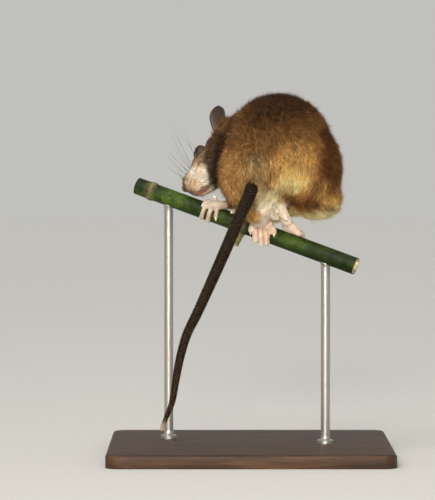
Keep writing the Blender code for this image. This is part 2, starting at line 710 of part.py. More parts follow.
def place_object(
    name: str, mesh: bpy.types.Mesh, material: bpy.types.Material, parent: bpy.types.Object
) -> bpy.types.Object:
    """Put a finished mesh into the scene in metres, with its origin at its own middle."""
    mesh.transform(Matrix.Scale(MM, 4))
    low = Vector([min(v.co[k] for v in mesh.vertices) for k in range(3)])
    high = Vector([max(v.co[k] for v in mesh.vertices) for k in range(3)])
    middle = (low + high) / 2
    mesh.transform(Matrix.Translation(-middle))
    mesh.name = name
    mesh.materials.clear()
    mesh.materials.append(material)
    mesh.shade_smooth()
    mesh.set_sharp_from_angle(angle=math.radians(50))
    thing = bpy.data.objects.new(name, mesh)
    bpy.context.scene.collection.objects.link(thing)
    thing.location = middle
    thing.parent = parent
    return thing


def build() -> None:
    """Model every piece and place it."""
    clear_scene()
    coat = finish("coat", "8A6238", 0.9)
    face = finish("face coat", "9A8468", 0.9)
    bare_skin = finish("bare skin", "DDBFA8", 0.55)
    ear_skin = finish("ear skin", "6E585A", 0.6)
    eye = finish("eye", "0A0808", 0.05)
    tail_skin = finish("tail skin", "3A2A22", 0.6)
    bamboo = finish("bamboo", "2F4A22", 0.5)
    wood = finish("stand wood", "3B2A1F", 0.45)
    steel = finish("stand steel", "8C8C8C", 0.35, 1.0)

    stem = perch_mesh()
    head = head_mesh()
    feet = {
        "hind_foot_left": left_hind_foot(),
        "hind_foot_right": right_hind_foot(),
        "hand_left": left_hand(),
        "hand_right": right_hand(),
    }
    clear_of_stem = perch_clearance()
    feet = {name: combined(mesh, clear_of_stem, "DIFFERENCE") for name, mesh in feet.items()}
    head = combined(head, clear_of_stem, "DIFFERENCE")
    feet["hand_left"] = combined(feet["hand_left"], swollen(head, GAP), "DIFFERENCE")

    ears = {side: ear_mesh(side, head) for side in (1, -1)}
    tail = tail_pieces()
    trunk = combined(torso_mesh(), clear_of_stem, "DIFFERENCE")
    trunk = combined(trunk, swollen(head, GAP), "DIFFERENCE")
    for mesh in (*feet.values(), *ears.values()):
        trunk = combined(trunk, swollen(mesh, GAP), "DIFFERENCE")
    bm = bmesh.new()
    socket = [(p, r + GAP) for p, r in tail_path()[:8]]
    inward = (socket[0][0] - socket[1][0]).normalized()
    add_tube(bm, [(socket[0][0] + inward * GAP, socket[0][1]), *socket[1:]], sides=12, round_ends=False)
    trunk = combined(trunk, as_mesh(bm), "DIFFERENCE")

    forearm_turn = Vector((-0.9, -0.4, 0.0)).normalized().to_track_quat("X", "Z").to_matrix().to_4x4()
    zones = {
        "thigh_left": region((-6.5, -8.0, 119.0), (12.5, 14.0, 14.5)),
        "thigh_right": region((24.0, -15.0, 124.5), (13.5, 15.0, 15.5)),
        "foreleg_left": region((-8.0, 9.0, 109.9), (7.0, 4.2, 5.0), forearm_turn),
        "foreleg_right": region((2.6, 18.5, 106.2), (7.0, 6.0, 5.4), forearm_turn),
        "neck": region((1.0, 13.0, 139.5), (13.0, 11.5, 13.5)),
    }
    pieces = {}
    for name, zone in zones.items():
        pieces[name], trunk = carved(trunk, zone)
    spine = Vector((0.25, 0.97, 0.0))
    near, far = Vector((12.0, -4.0, 130.0)), Vector((12.0, 13.0, 130.0))
    pieces["rump"] = combined(trunk, half_space(near, spine, -1.0), "INTERSECT")
    middle = combined(trunk, half_space(near, spine, 1.0), "INTERSECT")
    pieces["trunk"] = combined(middle, half_space(far, spine, -1.0), "INTERSECT")
    pieces["shoulders"] = combined(middle, half_space(far, spine, 1.0), "INTERSECT")

    melomys = bpy.data.objects.new("melomys", None)
    bpy.context.scene.collection.objects.link(melomys)
    stand = bpy.data.objects.new("display_stand", None)
    bpy.context.scene.collection.objects.link(stand)
    for name, mesh in pieces.items():
        place_object(name, mesh, coat, melomys)
    for name, side in (("left", 1), ("right", -1)):
        place_object(f"ear_{name}", ears[side], ear_skin, melomys)
        place_object(f"eye_{name}", eye_mesh(side), eye, melomys)
    for name, mesh in feet.items():
        place_object(name, mesh, bare_skin, melomys)
    for number, mesh in enumerate(tail, start=1):
        place_object(f"tail_{number}", mesh, tail_skin, melomys)
    place_object("head", head, face, melomys)
    place_object("perch", stem, bamboo, stand)
    place_object("stand_base", stand_base(), wood, stand)
    for number, x in enumerate(ROD_PLACES, start=1):
        place_object(f"stand_rod_{number}", stand_rod(x), steel, stand)


build()
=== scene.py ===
"""Looks of the black-tailed melomys: skin, coat, ears, eyes, claws, whiskers, tail, perch and stand.

Lengths are in millimetres in the row frame, and become metres where a mesh is made. The animal is seen
from behind when looking along +Y. In the head's own frame x runs to the nose, y to the animal's left and
z up from the skull, with the origin at the nose tip.
"""

import logging
import math
from collections.abc import Callable
from dataclasses import dataclass
from enum import Enum

import bmesh
import bpy
import numpy as np
from mathutils import Matrix, Vector
from mathutils.bvhtree import BVHTree

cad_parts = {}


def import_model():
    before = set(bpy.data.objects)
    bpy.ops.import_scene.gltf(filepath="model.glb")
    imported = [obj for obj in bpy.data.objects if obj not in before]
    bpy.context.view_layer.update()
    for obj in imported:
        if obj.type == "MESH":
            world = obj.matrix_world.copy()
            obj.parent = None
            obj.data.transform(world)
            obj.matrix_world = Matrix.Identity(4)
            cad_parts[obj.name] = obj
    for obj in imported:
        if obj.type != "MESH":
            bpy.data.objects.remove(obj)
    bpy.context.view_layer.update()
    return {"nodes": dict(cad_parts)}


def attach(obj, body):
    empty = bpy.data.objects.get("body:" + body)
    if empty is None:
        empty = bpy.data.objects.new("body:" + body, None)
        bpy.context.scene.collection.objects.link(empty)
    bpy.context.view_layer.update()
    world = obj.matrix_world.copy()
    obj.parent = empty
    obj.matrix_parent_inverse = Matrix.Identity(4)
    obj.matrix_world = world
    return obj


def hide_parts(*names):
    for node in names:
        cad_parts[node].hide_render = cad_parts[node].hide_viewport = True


LOG = logging.getLogger("melomys")

MM = 0.001
SEED = 7

# How the photograph maps onto the row frame: millimetres for one pixel, and the pixel over the origin.
PHOTO_WIDTH = 435
PHOTO_HEIGHT = 500
PIXEL = 0.44
ORIGIN_COLUMN = 250.0
ORIGIN_ROW = 456.0

BARE = ("hand_left", "hand_right", "hind_foot_left", "hind_foot_right")
FORELEGS = ("foreleg_left", "foreleg_right")
FLESH = ("head", "neck", "shoulders", "trunk", "rump", "thigh_left", "thigh_right", *FORELEGS, *BARE)


def linear(code: str) -> np.ndarray:
    """Turn an sRGB hex colour into linear red, green and blue.

    Args:
        code: Six hex digits.

    Returns:
        Three numbers from 0 to 1.
    """
    parts = np.array([int(code[i : i + 2], 16) for i in (0, 2, 4)]) / 255
    return np.where(parts <= 0.04045, parts / 12.92, ((parts + 0.055) / 1.055) ** 2.4)


def rgba(code: str) -> tuple:
    """An sRGB hex colour as a linear colour with full alpha."""
    return (*linear(code), 1.0)


def ease(value: np.ndarray, low: float, high: float) -> np.ndarray:
    """Rise smoothly from 0 at low to 1 at high.

    Args:
        value: The numbers to map.
        low: Where the rise starts.
        high: Where it ends; it may be below low, and the curve then falls.

    Returns:
        Numbers from 0 to 1.
    """
    part = np.clip((value - low) / (high - low), 0, 1)
    return part * part * (3 - 2 * part)


def unit(vectors: np.ndarray) -> np.ndarray:
    """Vectors of length one, along the last axis."""
    return vectors / np.maximum(np.linalg.norm(vectors, axis=-1, keepdims=True), 1e-9)


def sided(vector: tuple, side: int) -> np.ndarray:
    """A vector of the head's own frame, mirrored for the right side (-1) and as it is for the left (1)."""
    return np.array([vector[0], side * vector[1], vector[2]])


def mottle(points: np.ndarray, size: float, seed: int) -> np.ndarray:
    """Smooth random variation over space, from a lattice of random numbers.

    Args:
        points: Places in millimetres, one a row.
        size: The lattice's step in millimetres.
        seed: Picks the pattern.

    Returns:
        One number a place, mostly from -1 to 1.
    """
    lattice = np.random.default_rng(seed).uniform(-1.4, 1.4, size=(32, 32, 32))
    spot = points / size
    low = np.floor(spot).astype(int)
    part = spot - low
    part = part * part * (3 - 2 * part)
    total = np.zeros(len(points))
    for corner in range(8):
        step = np.array([(corner >> axis) & 1 for axis in range(3)])
        weight = np.prod(np.where(step, part, 1 - part), axis=1)
        i, j, k = ((low + step) % 32).T
        total += weight * lattice[i, j, k]
    return total


def flat(code: str, count: int) -> np.ndarray:
    """One hex colour, as a linear colour for each of so many places."""
    return np.repeat(linear(code)[None], count, axis=0)


def mixed(low: np.ndarray, high: np.ndarray | str, share: np.ndarray) -> np.ndarray:
    """Mix colours towards others by a share a place.

    Args:
        low: Linear colours, one a place.
        high: What they become: a hex colour, or linear colours.
        share: How far, from 0 to 1, one number a place.

    Returns:
        The mixed colours.
    """
    high = linear(high) if isinstance(high, str) else high
    return low * (1 - share[:, None]) + high * share[:, None]


def fill(tree: bpy.types.NodeTree, node: bpy.types.Node, inputs: dict) -> None:
    """Set a node's inputs.

    Args:
        tree: The material's node tree.
        node: The node.
        inputs: A value or an output socket for each named or numbered input.
    """
    for name, value in inputs.items():
        if isinstance(value, bpy.types.NodeSocket):
            tree.links.new(value, node.inputs[name])
        else:
            node.inputs[name].default_value = value


def add_node(
    tree: bpy.types.NodeTree, kind: str, inputs: dict = None, stops: list = None, **settings: object
) -> bpy.types.Node:
    """Add one shader node with its settings, and fill or link its inputs.

    Args:
        tree: The material's node tree.
        kind: The node's type, without the words that every shader node's type starts with.
        inputs: A value or an output socket for each named or numbered input.
        stops: For a colour ramp, pairs of a position and a hex colour.
        **settings: The node's own properties.

    Returns:
        The new node.
    """
    made = tree.nodes.new("ShaderNode" + kind)
    for name, value in settings.items():
        setattr(made, name, value)
    for number, (position, code) in enumerate(stops or []):
        elements = made.color_ramp.elements
        element = elements[number] if number < len(elements) else elements.new(position)
        element.position = position
        element.color = rgba(code)
    fill(tree, made, inputs or {})
    return made


class Slot(Enum):
    """The record's material slots."""

    COAT = "coat"
    BARE_SKIN = "bare_skin"
    EAR_SKIN = "ear_skin"
    EYE = "eye"
    TAIL_SKIN = "tail_skin"
    BAMBOO = "bamboo"
    STAND_WOOD = "stand_wood"
    STAND_STEEL = "stand_steel"


class Surface:
    """A node material under way. Its patterns lie in the piece's own space, at sizes in millimetres."""

    def __init__(self, name: str) -> None:
        """Start the material with a Principled node that is joined to its output."""
        self.material = bpy.data.materials.new(name)
        self.material.use_nodes = True
        self.tree = self.material.node_tree
        self.tree.nodes.clear()
        self.shader = add_node(self.tree, "BsdfPrincipled")
        add_node(self.tree, "OutputMaterial", {"Surface": self.shader.outputs["BSDF"]})
        self.place = None

    def places(self) -> bpy.types.NodeSocket:
        """Where each point lies in the piece's own space."""
        if self.place is None:
            self.place = add_node(self.tree, "TexCoord").outputs["Object"]
        return self.place

    def drawn_out(self, scale: tuple) -> None:
        """Stretch the patterns that follow along each axis whose number is below 1."""
        inputs = {"Vector": self.places(), "Scale": scale}
        self.place = add_node(self.tree, "Mapping", inputs).outputs["Vector"]

    def marks(self) -> bpy.types.NodeSocket:
        """The colours that the mesh itself carries."""
        return add_node(self.tree, "Attribute", attribute_name="colour").outputs["Color"]

    def noise(self, size: float, detail: float, **more: float) -> bpy.types.NodeSocket:
        """Cloudy noise.

        Args:
            size: How wide its largest clouds are.
            detail: How many finer layers it has.
            **more: The node's other inputs.

        Returns:
            Its strength.
        """
        inputs = {"Vector": self.places(), "Scale": 1 / (size * MM), "Detail": detail, **more}
        return add_node(self.tree, "TexNoise", inputs).outputs["Fac"]

    def cells(self, size: float, feature: str) -> bpy.types.NodeSocket:
        """A pattern of cells this wide, as the distance to their middles (F1) or edges."""
        inputs = {"Vector": self.places(), "Scale": 1 / (size * MM)}
        return add_node(self.tree, "TexVoronoi", inputs, feature=feature).outputs["Distance"]

    def mapped(
        self, value: bpy.types.NodeSocket, low: float, high: float, start: float = 0.0, end: float = 1.0
    ) -> bpy.types.NodeSocket:
        """Map a value that runs from start to end so that it runs from low to high."""
        inputs = {"Value": value, "From Min": start, "From Max": end, "To Min": low, "To Max": high}
        return add_node(self.tree, "MapRange", inputs).outputs["Result"]

    def times(self, colour: bpy.types.NodeSocket, factor: bpy.types.NodeSocket) -> bpy.types.NodeSocket:
        """A colour times a factor."""
        made = add_node(self.tree, "VectorMath", {0: colour, 1: factor}, operation="MULTIPLY")
        return made.outputs["Vector"]

    def ramp(self, value: bpy.types.NodeSocket, *stops: tuple) -> bpy.types.NodeSocket:
        """A colour ramp over pairs of a position and a hex colour."""
        return add_node(self.tree, "ValToRGB", {"Fac": value}, list(stops)).outputs["Color"]

    def bump(self, height: bpy.types.NodeSocket, strength: float, depth: float) -> bpy.types.NodeSocket:
        """Fine relief this many millimetres deep."""
        inputs = {"Height": height, "Strength": strength, "Distance": depth * MM}
        return add_node(self.tree, "Bump", inputs).outputs["Normal"]

    def finished(self, inputs: dict) -> bpy.types.Material:
        """Set the Principled node's inputs and give the material."""
        fill(self.tree, self.shader, inputs)
        return self.material


@dataclass(frozen=True)
class HairFinish:
    """Living agouti hair: smooth keratin in bands of colour, which gives a soft sheen along the coat."""

    name: str = "agouti hair"
    roughness: float = 0.7

    def material(self) -> bpy.types.Material:
        """Make the material, coloured from each tuft's own bands."""
        made = Surface(self.name)
        return made.finished(
            {
                "Base Color": made.marks(),
                "Roughness": self.roughness,
                "IOR": 1.55,
                "Specular IOR Level": 0.12,
                "Sheen Weight": 0.03,
                "Sheen Roughness": 0.5,
            }
        )


@dataclass(frozen=True)
class SkinFinish:
    """Living skin, thin and creased: soft light scattered under it gives the feet and lips their pink."""

    name: str = "creased bare skin"
    # Creases are about 0.2 mm apart in life, drawn at more than twice that so that they show.
    crease_mm: float = 0.55
    blotch_mm: float = 1.6

    def material(self) -> bpy.types.Material:
        """Make the material: marked colour, fine creases as bump, a little scatter."""
        made = Surface(self.name)
        crease = made.cells(self.crease_mm, "DISTANCE_TO_EDGE")
        tone = made.mapped(made.noise(self.blotch_mm, 3.0), 0.86, 1.1)
        return made.finished(
            {
                "Base Color": made.times(made.marks(), tone),
                "Normal": made.bump(crease, 0.35, 0.08),
                "Roughness": 0.5,
                "IOR": 1.4,
                "Subsurface Weight": 0.12,
                "Subsurface Radius": (1.0, 0.4, 0.25),
                "Subsurface Scale": 0.6 * MM,
            }
        )


@dataclass(frozen=True)
class EarFinish:
    """Thin leathery ear skin over gristle, with veins that show as darker lines and a dull sheen."""

    name: str = "thin ear skin"
    vein_mm: float = 2.6
    grain_mm: float = 0.5

    def material(self) -> bpy.types.Material:
        """Make the material: marked colour darkened along veins, with a fine grain as bump."""
        made = Surface(self.name)
        vein = made.mapped(made.cells(self.vein_mm, "DISTANCE_TO_EDGE"), 0.93, 1.0, end=0.12)
        return made.finished(
            {
                "Base Color": made.times(made.marks(), vein),
                "Normal": made.bump(made.noise(self.grain_mm, 4.0), 0.3, 0.08),
                "Roughness": 0.48,
                "IOR": 1.4,
                "Subsurface Weight": 0.1,
                "Subsurface Radius": (1.0, 0.3, 0.2),
                "Subsurface Scale": 0.5 * MM,
            }
        )


@dataclass(frozen=True)
class EyeFinish:
    """A wet eye, nearly black right across: a clear film gives one small sharp glint."""

    name: str = "wet dark eye"
    iris_hex: str = "0C0604"
    pupil_hex: str = "040202"

    def material(self) -> bpy.types.Material:
        """Make the material: a black pupil in a very dark brown iris under a clear film."""
        made = Surface(self.name)
        return made.finished(
            {
                "Base Color": made.marks(),
                "Roughness": 0.2,
                "IOR": 1.38,
                "Specular IOR Level": 0.15,
                "Coat Weight": 0.55,
                "Coat Roughness": 0.02,
            }
        )


@dataclass(frozen=True)
class HornFinish:
    """Claw horn: hard, smooth and faintly see-through, which gives it a waxy edge."""

    name: str = "pale claw horn"
    streak_mm: float = 0.7

    def material(self) -> bpy.types.Material:
        """Make the material: pale horn with fine streaks."""
        made = Surface(self.name)
        return made.finished(
            {
                "Base Color": made.ramp(made.noise(self.streak_mm, 2.0), (0.3, "D9C6AE"), (0.7, "F2E8DA")),
                "Roughness": 0.3,
                "IOR": 1.54,
                "Subsurface Weight": 0.2,
                "Subsurface Radius": (1.0, 0.7, 0.5),
                "Subsurface Scale": 0.4 * MM,
            }
        )


@dataclass(frozen=True)
class ScaleFinish:
    """Tail scales: small hard plates of skin that lie edge to edge and shine a little on their crowns."""

    name: str = "mosaic tail scales"
    grit_mm: float = 0.35

    def material(self) -> bpy.types.Material:
        """Make the material: marked colour with fine grit."""
        made = Surface(self.name)
        return made.finished(
            {
                "Base Color": made.marks(),
                "Normal": made.bump(made.noise(self.grit_mm, 2.0), 0.25, 0.05),
                "Roughness": 0.55,
                "IOR": 1.5,
                "Specular IOR Level": 0.06,
            }
        )


@dataclass(frozen=True)
class BambooFinish:
    """Growing bamboo: a waxy dark green rind that light glances off, with paler bloom and moss flecks."""

    name: str = "mossy green bamboo"
    bloom_mm: float = 3.2
    fleck_mm: float = 1.3

    def material(self) -> bpy.types.Material:
        """Make the material: marked green, pale bloom patches and dark flecks."""
        made = Surface(self.name)
        bloom = made.noise(self.bloom_mm, 6.0, Roughness=0.7)
        tone = made.mapped(bloom, 0.28, 1.7, 0.32, 0.68)
        fleck = made.mapped(made.cells(self.fleck_mm, "F1"), 0.4, 1.0, 0.12, 0.42)
        return made.finished(
            {
                "Base Color": made.times(made.times(made.marks(), tone), fleck),
                "Normal": made.bump(bloom, 0.5, 0.25),
                "Roughness": 0.5,
                "IOR": 1.45,
                "Specular IOR Level": 0.2,
            }
        )


@dataclass(frozen=True)
class WoodFinish:
    """Walnut, planed, stained and oiled: long grain lines show under a low even sheen."""

    name: str = "oiled dark walnut"
    grain_mm: float = 3.2
    pore_mm: float = 0.45

    def material(self) -> bpy.types.Material:
        """Make the material: grain drawn out along X, with fine pores."""
        made = Surface(self.name)
        made.drawn_out((0.09, 1.0, 1.0))
        figure = made.noise(self.grain_mm, 8.0, Roughness=0.62, Distortion=0.6)
        pores = made.noise(self.pore_mm, 3.0)
        return made.finished(
            {
                "Base Color": made.ramp(figure, (0.25, "21150E"), (0.5, "3A271A"), (0.75, "573C27")),
                "Normal": made.bump(pores, 0.3, 0.08),
                "Roughness": made.mapped(pores, 0.46, 0.66),
                "IOR": 1.5,
                # Oil sinks into the wood, so less light glances off it than off a varnish.
                "Specular IOR Level": 0.28,
            }
        )


@dataclass(frozen=True)
class SteelFinish:
    """Stainless steel rod, drawn and brushed along its length: fine lines stretch each highlight."""

    name: str = "brushed stainless steel"
    line_mm: float = 0.25

    def material(self) -> bpy.types.Material:
        """Make the material: metal with lines along Z."""
        made = Surface(self.name)
        made.drawn_out((1.0, 1.0, 0.03))
        lines = made.noise(self.line_mm, 2.0)
        return made.finished(
            {
                "Base Color": rgba("B4B2AE"),
                "Metallic": 1.0,
                "Roughness": made.mapped(lines, 0.34, 0.52),
                "Normal": made.bump(lines, 0.15, 0.03),
            }
        )


@dataclass(frozen=True)
class FloorFinish:
    """Matt studio paper: pale and even, with only a faint grain."""

    name: str = "matt studio paper"
    fibre_mm: float = 4.0

    def material(self) -> bpy.types.Material:
        """Make the material: pale paper with a faint fibre grain."""
        made = Surface(self.name)
        fibre = made.noise(self.fibre_mm, 4.0)
        paper = made.ramp(fibre, (0.3, "C9C8C4"), (0.7, "CDCCC8"))
        return made.finished({"Base Color": paper, "Roughness": 0.9})


@dataclass
class Arrays:
    """A mesh as arrays: corners in millimetres, faces of three or four corners, and a colour a corner."""

    corners: np.ndarray
    faces: np.ndarray
    colours: np.ndarray = None
    uv: np.ndarray = None

    def piece(self, name: str, slot: Slot, material: bpy.types.Material) -> bpy.types.Object:
        """Make the shown object, smooth, riding on the model's one body.

        Args:
            name: The piece's name.
            slot: The record's slot that its finish belongs to; not used.
            material: Its material.

        Returns:
            The object, linked into the scene.
        """
        thing = bpy.data.objects.new(name, self.mesh(name, MM))
        thing.data.materials.append(material)
        bpy.context.scene.collection.objects.link(thing)
        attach(thing, "root")
        return thing

    def mesh(self, name: str, scale: float = 1.0) -> bpy.types.Mesh:
        """Make a Blender mesh from the arrays.

        Args:
            name: The mesh's name.
            scale: What the corners are multiplied by.

        Returns:
            The mesh, smooth shaded.
        """
        mesh = bpy.data.meshes.new(name)
        sides = self.faces.shape[1]
        count = len(self.faces)
        mesh.vertices.add(len(self.corners))
        mesh.vertices.foreach_set("co", (self.corners * scale).astype(np.float32).ravel())
        mesh.loops.add(count * sides)
        mesh.loops.foreach_set("vertex_index", self.faces.astype(np.int32).ravel())
        mesh.polygons.add(count)
        mesh.polygons.foreach_set("loop_start", np.arange(0, count * sides, sides, dtype=np.int32))
        mesh.polygons.foreach_set("use_smooth", np.ones(count, dtype=bool))
        mesh.update(calc_edges=True)
        if self.colours is not None:
            layer = mesh.attributes.new("colour", "FLOAT_COLOR", "POINT")
            full = np.ones((len(self.corners), 4), np.float32)
            full[:, :3] = self.colours
            layer.data.foreach_set("color", full.ravel())
        if self.uv is not None:
            layer = mesh.uv_layers.new(name="OFBake")
            layer.uv.foreach_set("vector", self.uv.astype(np.float32).ravel())
        return mesh


def joined(parts: list) -> Arrays:
    """Join meshes of the same kind of face into one.

    Args:
        parts: The Arrays to join.

    Returns:
        One Arrays with every part's corners, faces and colours.
    """
    shift = np.cumsum([0, *[len(p.corners) for p in parts[:-1]]])
    colours = None
    if parts[0].colours is not None:
        colours = np.concatenate([p.colours for p in parts])
    return Arrays(
        np.concatenate([p.corners for p in parts]),
        np.concatenate([p.faces + s for p, s in zip(parts, shift)]),
        colours,
    )


def strips(rings: int, sides: int) -> np.ndarray:
    """Four-sided faces that join each ring of corners to the next."""
    low = np.arange(sides)
    ahead = (low + 1) % sides
    strip = np.stack([low, ahead, ahead + sides, low + sides], axis=1)
    return np.concatenate([strip + k * sides for k in range(rings - 1)])


def tube(path: np.ndarray, radii: np.ndarray, sides: int) -> Arrays:
    """A tube along a path, its ends drawn in to a point.

    Args:
        path: Places along its middle line.
        radii: Its radius at each place.
        sides: Faces round it.

    Returns:
        The tube, its corners ring by ring.
    """
    path = np.concatenate([path[:1], path, path[-1:]])
    radii = np.concatenate([[radii[0] * 0.02], radii, [radii[-1] * 0.02]])
    tangents = unit(np.gradient(path, axis=0) + 1e-9)
    side = np.cross([0, 0, 1.0], tangents[len(tangents) // 2])
    if np.linalg.norm(side) < 0.2:
        side = np.cross([1.0, 0, 0], tangents[len(tangents) // 2])
    turns = np.arange(sides) * (2 * math.pi / sides)
    rings = []
    for place, tangent, radius in zip(path, tangents, radii):
        side = unit(side - tangent * (side @ tangent))
        high = np.cross(tangent, side)
        rings.append(place + radius * (np.cos(turns)[:, None] * side + np.sin(turns)[:, None] * high))
    return Arrays(np.concatenate(rings), strips(len(path), sides))


def smooth_path(points: list, steps: int) -> tuple:
    """A smooth curve through places that each have a radius.

    Args:
        points: Pairs of a place and a radius.
        steps: Stretches between one point and the next.

    Returns:
        The places and the radii along it.
    """
    places = np.array([p for p, _ in points], float)
    sizes = np.array([r for _, r in points], float)
    ends = np.concatenate([places[:1], places, places[-1:]])
    path, radii = [], []
    for k in range(len(points) - 1):
        a, b, c, d = ends[k : k + 4]
        for i in range(steps):
            t = i / steps
            path.append(
                0.5 * (-t + 2 * t**2 - t**3) * a
                + 0.5 * (2 - 5 * t**2 + 3 * t**3) * b
                + 0.5 * (t + 4 * t**2 - 3 * t**3) * c
                + 0.5 * (-(t**2) + t**3) * d
            )
            radii.append(sizes[k] + (sizes[k + 1] - sizes[k]) * t)
    path.append(places[-1])
    radii.append(sizes[-1])
    return np.array(path), np.array(radii)


@dataclass
class HeadPlace:
    """Where the head sits: its nose tip, the way it points and its roll about that line."""

    nose_tip: tuple = (-30.6, 16.0, 116.6)
    nose_way: tuple = (-0.69, 0.06, -0.70)
    roll: float = math.radians(46.0)
    eye: tuple = (-17.8, 5.3, 2.4)
    eye_way: tuple = (0.28, 0.87, 0.40)
    eye_radius: float = 2.6
    # The comma of each nostril: its place, half sizes and turn.
    nostril_place: tuple = (-0.75, 1.75, -1.0)
    nostril_radii: tuple = (1.0, 0.5, 0.42)
    nostril_turn: float = math.radians(35.0)

    def __post_init__(self) -> None:
        """Work out the head's three axes."""
        nose = unit(np.array(self.nose_way))
        behind = np.array([0.0, -1.0, 0.0])
        level = unit(behind - nose * (behind @ nose))
        across = np.cross(nose, level)
        left = level * math.cos(self.roll) + across * math.sin(self.roll)
        up = across * math.cos(self.roll) - level * math.sin(self.roll)
        self.axes = np.stack([nose, left, up])

    def inward(self, points: np.ndarray) -> np.ndarray:
        """Places in the head's own frame."""
        return (points - np.array(self.nose_tip)) @ self.axes.T

    def outward(self, points: np.ndarray) -> np.ndarray:
        """Places in the row frame."""
        return np.asarray(points, float) @ self.axes + np.array(self.nose_tip)

    def turned(self, ways: np.ndarray) -> np.ndarray:
        """Directions of the head's own frame in the row frame."""
        return np.asarray(ways, float) @ self.axes

    @staticmethod
    def folded(inner: np.ndarray) -> np.ndarray:
        """Places in the head's own frame, those on the right mirrored to the left."""
        return np.stack([inner[:, 0], np.abs(inner[:, 1]), inner[:, 2]], axis=1)

    def from_eyes(self, inner: np.ndarray) -> np.ndarray:
        """How far places in the head's own frame are from the nearer eye's middle."""
        return np.linalg.norm(self.folded(inner) - np.array(self.eye), axis=1)

    def nostril_cover(self, inner: np.ndarray) -> np.ndarray:
        """How deep places lie in a nostril's comma: 1 in its middle, 0 outside.

        Args:
            inner: Places in the head's own frame.

        Returns:
            One number a place.
        """
        arm = self.folded(inner) - np.array(self.nostril_place)
        along = arm[:, 0] * math.cos(self.nostril_turn) + arm[:, 1] * math.sin(self.nostril_turn)
        across = arm[:, 1] * math.cos(self.nostril_turn) - arm[:, 0] * math.sin(self.nostril_turn)
        # The pit curls upwards behind, like a comma.
        high = arm[:, 2] - 0.35 * np.clip(-along, 0, 1)
        away = np.linalg.norm(np.stack([along, across, high], axis=1) / self.nostril_radii, axis=1)
        return 1 - ease(away, 0.35, 1.15)

    def lip_cover(self, inner: np.ndarray, width: float) -> np.ndarray:
        """How near places are to the mouth line: 1 on it, 0 beyond the width.

        Args:
            inner: Places in the head's own frame.
            width: How far the cover reaches each side of the line.

        Returns:
            One number a place.
        """
        share = (np.clip((-2.6 - inner[:, 0]) / 10.0, 0, 1)) ** (1 / 1.3)
        line = -6.0 - 0.3 * np.sin(math.pi * share) + 0.5 * share**3
        ends = ease(inner[:, 0], -13.4, -12.4) * ease(-inner[:, 0], 1.2, 2.2)
        return (1 - ease(np.abs(inner[:, 2] - line), 0.4 * width, width)) * ends

    def eye_middle(self, side: int) -> np.ndarray:
        """The middle of the left (1) or right (-1) eye in the head's own frame."""
        return sided(self.eye, side)

    def eye_look(self, side: int) -> np.ndarray:
        """The way that eye looks in the head's own frame."""
        return unit(sided(self.eye_way, side))


@dataclass(frozen=True)
class Stem:
    """The bamboo stem's middle line: it falls to the right and comes nearer as it does."""

    middle: tuple = (11.4, 0.0, 96.4)
    slope: tuple = (1.0, -0.35, -0.36)
    left: float = -50.0
    right: float = 46.0
    radius: float = 3.8
    nodes: tuple = (-43.5, -2.5)
    node_rise: float = 0.5
    node_length: float = 1.3
    # The folds between the toes: the left foot's X, drift and first degree round the stem, the right's X.
    left_seams: tuple = ((3.25, 0.1, 66), (5.4, 0.3, 66), (7.65, 0.42, 66), (9.8, 0.5, 62))
    right_seams: tuple = (15.5, 17.3, 19.1)

    def axes(self) -> tuple:
        """Unit vectors along the stem, towards its top and towards its near side."""
        along = unit(np.array(self.slope))
        top = unit(np.array([0, 0, 1.0]) - along * along[2])
        return along, top, np.cross(along, top)

    def place(self, x: np.ndarray) -> np.ndarray:
        """The middle of the stem at each X."""
        x = np.asarray(x, float)
        return np.array(self.middle) + np.array(self.slope) * (x[..., None] - self.middle[0])

    def ring(self, x: float, turn: float, radius: float) -> np.ndarray:
        """A place round the stem.

        Args:
            x: Where along it.
            turn: Degrees from its top towards its near side.
            radius: How far from its middle.

        Returns:
            The place.
        """
        _, top, near = self.axes()
        angle = math.radians(turn)
        return self.place(x) + (top * math.cos(angle) + near * math.sin(angle)) * radius

    def toe_seams(self, points: np.ndarray) -> np.ndarray:
        """How near places are to the folds between the toes that grip the stem.

        Args:
            points: Places in the row frame.

        Returns:
            Numbers from 0 to 1.
        """
        along, top, near = self.axes()
        arm = points - self.place(points[:, 0])
        turn = np.degrees(np.arctan2(arm @ near, arm @ top))
        close = 1 - ease(np.linalg.norm(arm - (arm @ along)[:, None] * along, axis=1), 8.0, 9.0)

        def seam(x: float, shift: np.ndarray) -> np.ndarray:
            """How near places are to one fold that drifts along the stem as it goes round."""
            return 1 - ease(np.abs(points[:, 0] - x - shift), 0.08, 0.42)

        cover = np.zeros(len(points))
        for x, drift, start in self.left_seams:
            line = seam(x, drift * np.clip(turn - 70, 0, 100) / 32)
            cover = np.maximum(cover, line * ease(turn, start, start + 14))
        for x in self.right_seams:
            line = seam(x, 0.35 * np.clip(18 - turn, 0, 120) / 30)
            cover = np.maximum(cover, line * ease(turn, 22, 8) * ease(turn, -150, -130))
        return cover * close

    def off(self, points: np.ndarray) -> np.ndarray:
        """How far each point is from the stem's middle line."""
        along, arm = self.axes()[0], points - np.array(self.middle)
        return np.linalg.norm(arm - (arm @ along)[:, None] * along, axis=1)


@dataclass(frozen=True)
class Patch:
    """A soft-edged patch of colour: an ellipsoid of space that tints the coat or skin inside it."""

    centre: tuple
    radii: tuple
    colour: str
    strength: float = 0.9

    def cover(self, points: np.ndarray) -> np.ndarray:
        """How strongly the patch tints each place, from 0 to its strength.

        Args:
            points: Places in the patch's frame.

        Returns:
            One number a place.
        """
        away = np.linalg.norm((points - np.array(self.centre)) / np.array(self.radii), axis=1)
        return self.strength * (1 - ease(away, 0.55, 1.25))


